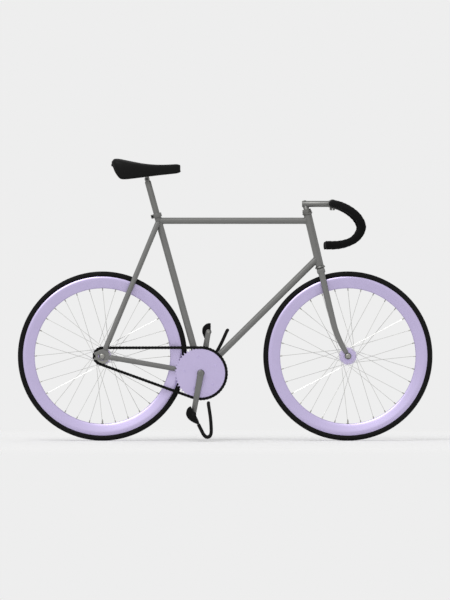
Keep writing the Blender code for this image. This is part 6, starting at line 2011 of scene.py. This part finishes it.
@dataclass
class Handlebar:
    """The drop handlebar, and the tape that is wound up each side of it."""

    layout: Layout
    diameter: float = 0.0238
    bulge_half: float = 0.0304
    bulge_taper: float = 0.0046
    bulge_start: tuple[float, float] = (0.0015, 0.0003)
    half_width: float = 0.205
    reach: float = 0.113
    drop: float = 0.163
    tape_thickness: float = 0.0038
    tape_lap: float = 0.0011
    tape_pitch: float = 0.021
    tape_start: float = 0.056
    tape_step: float = 0.0010
    band_thickness: float = 0.0003
    band_rise: tuple[float, ...] = (0.0026, 0.0012, 0.0003)
    band_steps: int = 10
    band_fall: tuple[float, ...] = (0.0002, 0.0009)
    plug: float = 0.004
    plug_dome: Profile = ((0.45, 0.93), (0.75, 0.7), (0.93, 0.35), (1.0, 0.0))
    plug_foot: Profile = ((0.98, -0.002), (0.0, -0.002))
    shape: Sequence[tuple[float, float, float]] = (
        (0.08, 0.013, 0.43), (0.28, 0.055, 0.63), (0.58, 0.163, 0.82), (0.85, 0.327, 0.94),
        (1.0, 0.537, 0.99), (0.94, 0.712, 1.0), (0.758, 0.858, 1.0), (0.489, 0.950, 1.0),
        (0.158, 0.996, 1.0), (-0.25, 1.0, 1.0))

    def half_path(self, side: Side) -> list[Vector]:
        """Return the middle line of one side of the drop, from the start of its tape."""
        centre = self.layout.bar_centre
        knots = [centre + ACROSS * side.value * self.tape_start] + [
            centre + Vector((
                self.reach * ahead, side.value * self.half_width * out, -self.drop * down))
            for ahead, down, out in self.shape]
        return smooth_path(knots, 16)

    def build(self) -> None:
        """Build the bar with its bulged middle, then wind the tape."""
        centre = self.layout.bar_centre
        bar, clamp = self.diameter / 2, self.layout.bar_clamp_diameter / 2
        halves = {side: self.half_path(side) for side in Side}
        edge = self.bulge_half + self.bulge_taper
        start, rise = self.bulge_start
        middle = [centre + ACROSS * y for y in (
            edge, edge - start, self.bulge_half, -self.bulge_half, start - edge, -edge)]
        radii = [bar, bar + rise, clamp, clamp, bar + rise, bar]
        path = halves[Side.LEFT][::-1] + middle + halves[Side.RIGHT]
        radii = [bar] * len(halves[Side.LEFT]) + radii + [bar] * len(halves[Side.RIGHT])
        Form().sweep(path, radii, 32).piece("drop_bar", "handlebar", BLACK_STEEL, "handlebar")
        for side in Side:
            self.build_tape(side, halves[side])

    def build_tape(self, side: Side, line: list[Vector]) -> None:
        """Build one side's tape as a lapped spiral, with its finishing tape and its plug."""
        radius = self.diameter / 2 + self.tape_thickness
        path = evenly(line, self.tape_step)
        turn = math.tau * self.tape_step / self.tape_pitch * side.value
        Form().sweep(
            path, radius, 32, lap=self.tape_lap / radius, twist=turn).piece(
                f"wound_tape_{side.label}", "handlebar", BAR_TAPE, f"bar_tape_{side.label}",
                sharp=25)
        ends = Form()
        radii = [radius + self.band_thickness - below for below in (
            *self.band_rise, *[0.0] * self.band_steps, *self.band_fall)]
        ends.sweep(path[:len(radii)], radii, 40)
        dome = [(radius * share, self.plug * height) for share, height in self.plug_dome]
        foot = [(radius * share, height) for share, height in self.plug_foot]
        ends.turn(
            [(0.0, self.plug + GAP), *dome, *foot], toward(path[-1], path[-1] - path[-2]), 40,
            closed=False)
        ends.piece(f"tape_band_and_plug_{side.label}", "handlebar", RESIN)


@dataclass
class Seatpost:
    """The seatpost, with the round head that the saddle clamp tilts on."""

    layout: Layout
    insertion: float = 0.100
    top_below_pivot: float = 0.006
    head_diameter: float = 0.020
    foot_edge: float = 0.001
    shoulder: Profile = (
        (0.0, -0.006), (-0.0010, -0.0025), (-0.0035, -0.0005), (-0.005, 0.0))

    def build(self) -> None:
        """Build the post and its head as one forging."""
        plan = self.layout
        foot = plan.seat_tube_top - plan.seat_up * self.insertion
        top = plan.saddle_pivot - plan.seat_up * self.top_below_pivot
        length = (top - foot).length
        radius = plan.seatpost_diameter / 2
        post = Form().turn(
            [(0.0, 0.0), *chamfered(radius, 0.0, -self.foot_edge),
             *moved(self.shoulder, radius, length), (0.0, length)],
            toward(foot, plan.seat_up), 48, closed=False)
        half = ACROSS * plan.post_head_width / 2
        post.rod(plan.saddle_pivot - half, plan.saddle_pivot + half, self.head_diameter / 2,
                 0.0008, 40)
        post.piece("forged_seatpost", "seatpost", GREY_ALLOY, "seatpost")


@dataclass
class SaddleClamp:
    """The two clamp halves on the rails, and the ears with the bolt that they tilt on."""

    layout: Layout
    length: float = 0.032
    height: float = 0.015
    corner: float = 0.002
    edge: float = 0.0009
    ear_edge: float = 0.0008
    ear_thickness: float = 0.005
    pivot_radius: float = 0.008
    top_radius: float = 0.0076
    sink: float = 0.0003
    pivot_bolt: Bolt = Bolt(0.0050, 0.0040, 0.0056, 0.003, 0.0040, nut_chamfer=0.0005)
    clamp_bolt_spread: float = 0.0095
    clamp_bolt_radius: float = 0.0042
    clamp_bolt_height: float = 0.0020

    def half_outline(self, up: int) -> Outline:
        """Return the section of the upper or the lower half, with its grooves for the rails."""
        wide = self.layout.rail_spread + self.layout.rail_diameter
        groove = self.layout.rail_diameter / 2 + GAP
        top, cut = self.height / 2, self.corner
        outline = [(-wide, up * GAP), (-wide, up * (top - cut)), (-wide + cut, up * top),
                   (wide - cut, up * top), (wide, up * (top - cut)), (wide, up * GAP)]
        for middle in (self.layout.rail_spread, -self.layout.rail_spread):
            outline += arc((middle, up * GAP), groove, 0.0, up * math.pi, 12)
        return outline

    def build(self) -> None:
        """Build both halves, the ears, the pivot bolt and the two clamping bolts."""
        plan = self.layout
        place = Matrix.Translation(plan.rail_middle) @ axes(ACROSS, UP, FORWARD)
        clamp = Form()
        for up in (1, -1):
            clamp.plate(self.half_outline(up), self.length, place, self.edge)
        ear = link_outline(
            plan.saddle_pivot, self.pivot_radius, plan.rail_middle, self.top_radius, 16)
        middle = plan.post_head_width / 2 + RUNNING_GAP + self.ear_thickness / 2
        for side in Side:
            clamp.plate(ear, self.ear_thickness, side_view(side.value * middle), self.ear_edge)
        clamp.piece("rail_clamp", "saddle_clamp", GREY_ALLOY, "saddle_clamp")
        bolts = Form()
        face = ACROSS * (middle + self.ear_thickness / 2 - self.sink)
        bolts.cross_bolt(plan.saddle_pivot, face, self.pivot_bolt)
        for ahead in (-1, 1):
            top = plan.rail_middle + at(
                ahead * self.clamp_bolt_spread, self.height / 2 - self.sink)
            bolts.socket_bolt(top, UP, self.clamp_bolt_radius, self.clamp_bolt_height)
        bolts.piece("saddle_clamp_bolts", "saddle_clamp", BLACK_STEEL)


@dataclass
class Saddle:
    """A leather covered saddle on moulded foam, with its rolled edge and its steel rails."""

    layout: Layout
    length: float = 0.268
    width: float = 0.146
    nose_width: float = 0.036
    height: float = 0.062
    pad: float = 0.012
    skirt: float = 0.005
    nose_share: float = 0.90
    nose_height: float = 0.027
    route: Sequence[tuple[float, float, float]] = (
        (0.1, 1.95, 0.839), (0.17, 1.75, 0.581), (0.27, 1.35, 0.194), (0.36, 1.02, 0.0),
        (0.4, 1.0, 0.0), (0.52, 1.0, 0.0), (0.64, 1.0, 0.0), (0.7, 0.85, 0.024),
        (0.79, 0.58, 0.161), (0.87, 0.38, 0.355))
    stations: Sequence[tuple[float, float, float, float]] = (
        (0.0, 0.5, 0.839, 0.548), (0.018, 0.68, 0.952, 0.452), (0.05, 0.85, 1.0, 0.129),
        (0.108, 0.97, 0.992, -0.21), (0.175, 1.0, 0.935, -0.274), (0.3, 0.93, 0.823, -0.226),
        (0.43, 0.68, 0.718, -0.161), (0.55, 0.46, 0.653, -0.097), (0.68, 0.28, 0.621, -0.032),
        (0.82, 0.1, 0.629, 0.032), (0.93, 0.01, 0.653, 0.081), (0.962, -0.035, 0.647, 0.105),
        (0.985, -0.1, 0.62, 0.14))
    outside: Profile = ((0.90, 0.0), (1.0, 0.40), (0.93, 0.80), (0.62, 0.965))
    inside: Profile = ((0.90, 0.0), (1.0, 0.45), (0.84, 0.92))
    roll: float = 0.0016
    roll_step: float = 0.003
    edge_drop: float = 0.28
    far_edge: int = 40
    tail_dome: Sequence[tuple[float, ...]] = (
        (0.90, 0.93, 0.92, 0.0, 0.0018), (0.965, 0.975, 0.97, 0.0, 0.0012))
    nose_dome: Sequence[tuple[float, ...]] = (
        (0.95, 0.985, 0.8, 0.015, 0.0018), (0.84, 0.955, 0.5, 0.05, 0.0032),
        (0.62, 0.915, 0.2, 0.10, 0.0043), (0.34, 0.88, 0.05, 0.15, 0.0049))

    def section(self, share: float, width: float, top: float, skirt: float) -> list[Vector]:
        """Return the closed line of one section of the saddle, open underneath.

        Args:
            share: Its place along the saddle, from the tail.
            width: Its width, from the nose's at 0 to the full width at 1.
            top: The height of its top above the clamped rails, as a share of the height.
            skirt: The height of its lower edge above them, as such a share.

        Returns:
            Its points: up the left, down the right, and back through the inside.
        """
        x = self.layout.saddle_rear.x + self.length * share
        low = self.layout.saddle_rear.z + self.height * skirt
        high = self.height * (top - skirt)
        room = high - self.pad
        half = (self.nose_width + (self.width - self.nose_width) * width) / 2
        outer = [at(x, low + high * up, half * out) for out, up in self.outside]
        outer.append(at(x, low + high))
        inner = [at(x, low + room * up, half * out - self.skirt) for out, up in self.inside]
        inner.append(at(x, low + room))
        outer, inner = [
            smooth_path(half + [point * MIRROR for point in half[-2::-1]], 5)
            for half in (outer, inner)]
        edge = (outer[0] + inner[0]) / 2 - UP * self.skirt * self.edge_drop
        return outer + [edge * MIRROR] + inner[::-1] + [edge]

    def build(self) -> None:
        """Build the padded cover, its rolled edge and the rails."""
        rows = smooth_path([Vector(station[:3]) for station in self.stations], 5)
        skirts = smooth_path(
            [Vector((station[0], station[3], 0.0)) for station in self.stations], 5)
        rings = [self.section(*row, skirt.y) for row, skirt in zip(rows, skirts)]
        part = bmesh.new()
        loops = []
        tail, nose = self.domes(rings)
        rings = tail + rings + nose
        for ring in rings:
            verts = [part.verts.new(point) for point in ring]
            loops.append([part.edges.new(pair) for pair in zip(verts, verts[1:] + verts[:1])])
        for before, after in zip(loops, loops[1:]):
            bmesh.ops.bridge_loops(part, edges=before + after)
        for loop in (loops[0], loops[-1]):
            bmesh.ops.edgeloop_fill(part, edges=loop)
        cover = Form().take(part).piece(
            "leather_saddle", "saddle", LEATHER, "saddle", sharp=50)
        arch = tail[0][self.far_edge + 2:-1]
        top = len(arch) // 2
        line = arch[top:] + [ring[0] for ring in rings] + [
            ring[self.far_edge] for ring in reversed(rings)] + arch[:top + 1]
        Form().sweep(evenly(line, self.roll_step), self.roll, 12).piece(
            "saddle_rolled_edge", "saddle", LEATHER)
        self.build_rails()

    def domes(self, rings: list[list[Vector]]) -> list[list[list[Vector]]]:
        """Return the smaller rings that round off the tail and close the nose.

        Args:
            rings: The saddle's sections, from the tail to the nose.

        Returns:
            The tail's rings and the nose's rings, each from tail to nose.
        """
        domes = []
        for ring, way, steps in ((rings[0], -1, self.tail_dome), (rings[-1], 1, self.nose_dome)):
            low, high = ring[0].z, ring[self.far_edge // 2].z
            domes.append([[
                Vector((
                    point.x + way * out, point.y * across, low + (high - low) * lift + (
                        point.z - low) * (inside if i > self.far_edge else up - lift)))
                for i, point in enumerate(ring)] for across, up, inside, lift, out in steps])
        return domes

    def build_rails(self) -> None:
        """Build the rails as one bent wire, from socket to socket round the nose."""
        rear = self.layout.saddle_rear
        left, right = [
            [rear + Vector((self.length * along, hand * self.layout.rail_spread * out,
                            self.height * up)) for along, out, up in self.route]
            for hand in (1, -1)]
        nose = rear + at(self.length * self.nose_share, self.nose_height)
        path = smooth_path(left + [nose] + right[::-1], 8)
        Form().sweep(path, self.layout.rail_diameter / 2, 20).piece(
            "bent_saddle_rails", "saddle", PLATED_STEEL, "saddle_rails")


@dataclass
class Studio:
    """A pale floor that fades out, even light and the camera of the photograph's view."""

    backdrop: str = "#eeeeee"
    floor_colour: str = "#f0f0f0"
    floor_radius: float = 2.6
    floor_grain: float = 3.0
    fade_start: float = 0.55
    fade_end: float = 0.98
    sky: float = 0.72
    sun: float = 1.25
    sun_spread: float = math.radians(40)
    sun_from: tuple[float, float, float] = (-0.45, -0.75, 1.0)
    camera_distance: float = 26.3
    camera_x: float = -0.0006
    camera_height: float = 0.5551
    lens: float = 400.0
    sensor: float = 36.0
    clip_end: float = 200.0

    def build(self) -> None:
        """Build the floor, the world, the sun and the camera."""
        self.build_floor()
        self.build_world()
        self.build_light()
        self.build_camera()

    def build_floor(self) -> None:
        """Build a round floor, matt and pale, that turns clear towards its edge."""
        part = bmesh.new()
        bmesh.ops.create_circle(part, cap_ends=True, segments=96, radius=self.floor_radius)
        mesh = bpy.data.meshes.new("studio_floor")
        Form().take(part).bm.to_mesh(mesh)
        floor = new_object("studio_floor", mesh)
        made = bpy.data.materials.new("matt_studio_floor")
        tree = empty_tree(made)
        where = add_node(tree, "ShaderNodeTexCoord", {}).outputs["Object"]
        grain = add_node(tree, "ShaderNodeTexNoise", {"Vector": where, "Scale": self.floor_grain})
        colour = add_node(tree, "ShaderNodeMix", {
            0: grain.outputs["Fac"], 6: linear(self.floor_colour), 7: linear(self.backdrop)},
            data_type="RGBA")
        matt = add_node(tree, "ShaderNodeBsdfDiffuse", {"Color": colour.outputs[2]})
        clear = add_node(tree, "ShaderNodeBsdfTransparent", {})
        reach = add_node(tree, "ShaderNodeVectorMath", {0: where}, operation="LENGTH")
        fade = add_node(tree, "ShaderNodeMapRange", {
            "Value": reach.outputs["Value"], "From Min": self.floor_radius * self.fade_start,
            "From Max": self.floor_radius * self.fade_end}, interpolation_type="SMOOTHSTEP")
        mixed = add_node(tree, "ShaderNodeMixShader", {
            0: fade.outputs["Result"], 1: matt.outputs[0], 2: clear.outputs[0]})
        add_node(tree, "ShaderNodeOutputMaterial", {"Surface": mixed.outputs[0]})
        mesh.materials.append(made)
        floor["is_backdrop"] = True

    def build_world(self) -> None:
        """Make the world a soft white light that the camera sees as the plain backdrop."""
        world = bpy.data.worlds.new("studio_world")
        bpy.context.scene.world = world
        tree = empty_tree(world)
        ray = add_node(tree, "ShaderNodeLightPath", {}).outputs
        seen = add_node(tree, "ShaderNodeMath", {
            0: ray["Is Camera Ray"], 1: ray["Is Glossy Ray"]}, operation="ADD", use_clamp=True)
        seen = add_node(tree, "ShaderNodeMath", {
            0: seen.outputs[0], 1: ray["Is Transmission Ray"]}, operation="ADD", use_clamp=True)
        light = add_node(tree, "ShaderNodeBackground", {
            "Color": (1.0, 1.0, 1.0, 1.0), "Strength": self.sky})
        shown = add_node(tree, "ShaderNodeBackground", {
            "Color": linear(self.backdrop), "Strength": 1.0})
        mixed = add_node(tree, "ShaderNodeMixShader", {
            0: seen.outputs[0], 1: light.outputs[0], 2: shown.outputs[0]})
        add_node(tree, "ShaderNodeOutputWorld", {"Surface": mixed.outputs[0]})

    def build_light(self) -> None:
        """Hang one wide soft lamp above, in front and to the left of the view."""
        lamp = bpy.data.lights.new("studio_lamp", "SUN")
        lamp.energy = self.sun
        lamp.angle = self.sun_spread
        made = new_object("studio_lamp", lamp)
        made.matrix_world = toward(Vector(), Vector(self.sun_from).normalized())
        made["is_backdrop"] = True

    def build_camera(self) -> None:
        """Stand the camera far off to the right of the bicycle, level and square to it."""
        lens = bpy.data.cameras.new("studio_camera")
        lens.lens = self.lens
        lens.sensor_width = self.sensor
        lens.sensor_fit = "AUTO"
        lens.clip_end = self.clip_end
        made = new_object("studio_camera", lens)
        made.matrix_world = Matrix.Translation(
            (self.camera_x, -self.camera_distance, self.camera_height)) @ (
                Matrix.Rotation(math.pi / 2, 4, "X"))
        bpy.context.scene.camera = made
        bpy.context.scene.view_settings.view_transform = "Standard"


def finish_hidden_nodes(finish: Finish, *nodes: str) -> None:
    """Give the CAD nodes that stay as they are their finish."""
    for node in nodes:
        mesh = frame["nodes"][node].data
        mesh.materials.clear()
        mesh.materials.append(finish.material())


def write_size(before: Sequence[Any], after: Sequence[Any]) -> None:
    """Put the bounds of the CAD model and of the finished model in plain lists, which are not
    kept.
    """
    {"cad": plain(before), "visual": plain(after)}


def plain(value: Any) -> Any:
    """Return bounds as plain lists of numbers."""
    return [plain(item) for item in value] if hasattr(value, "__len__") else float(value)


def main() -> None:
    """Build every sub-assembly, then the studio."""
    logging.basicConfig(level=logging.INFO, format="%(name)s %(message)s")
    plan = Layout.measured()
    parts = [
        MainFrame(plan), SeatClamp(plan), Headset(plan), Fork(plan),
        Wheel(
            plan, "rear", plan.rear_axle, "frame", spacing=0.120, plate=0.006,
            axle_diameter=0.010, flange_spread=0.031, right_end=0.0488),
        Wheel(
            plan, "front", plan.front_axle, "fork", spacing=0.100, plate=0.0055,
            axle_diameter=0.009, flange_spread=0.034),
        Sprocket(
            plan, "track_cog", "rear_cog", "rear_wheel", PLATED_STEEL, plan.rear_axle,
            plan.cog_teeth, plan.cog_phase, tooth_height=0.0031, thickness=0.0028,
            bore=0.017 + GAP),
        Lockring(plan), Chain(plan), Crankset(plan),
        Pedal(plan, Side.RIGHT, toe_down=math.radians(62.5)),
        Pedal(plan, Side.LEFT, toe_down=math.radians(95.5)),
        Stem(plan), Handlebar(plan), Seatpost(plan), SaddleClamp(plan), Saddle(plan), Studio()]
    for part in parts:
        part.build()
        LOG.info("%s is built", type(part).__name__)
    finish_hidden_nodes(PLATED_STEEL, "steerer_tube", "bottom_bracket_spindle")
    write_size(CAD_BOX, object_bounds())


if __name__ == "__main__":
    main()
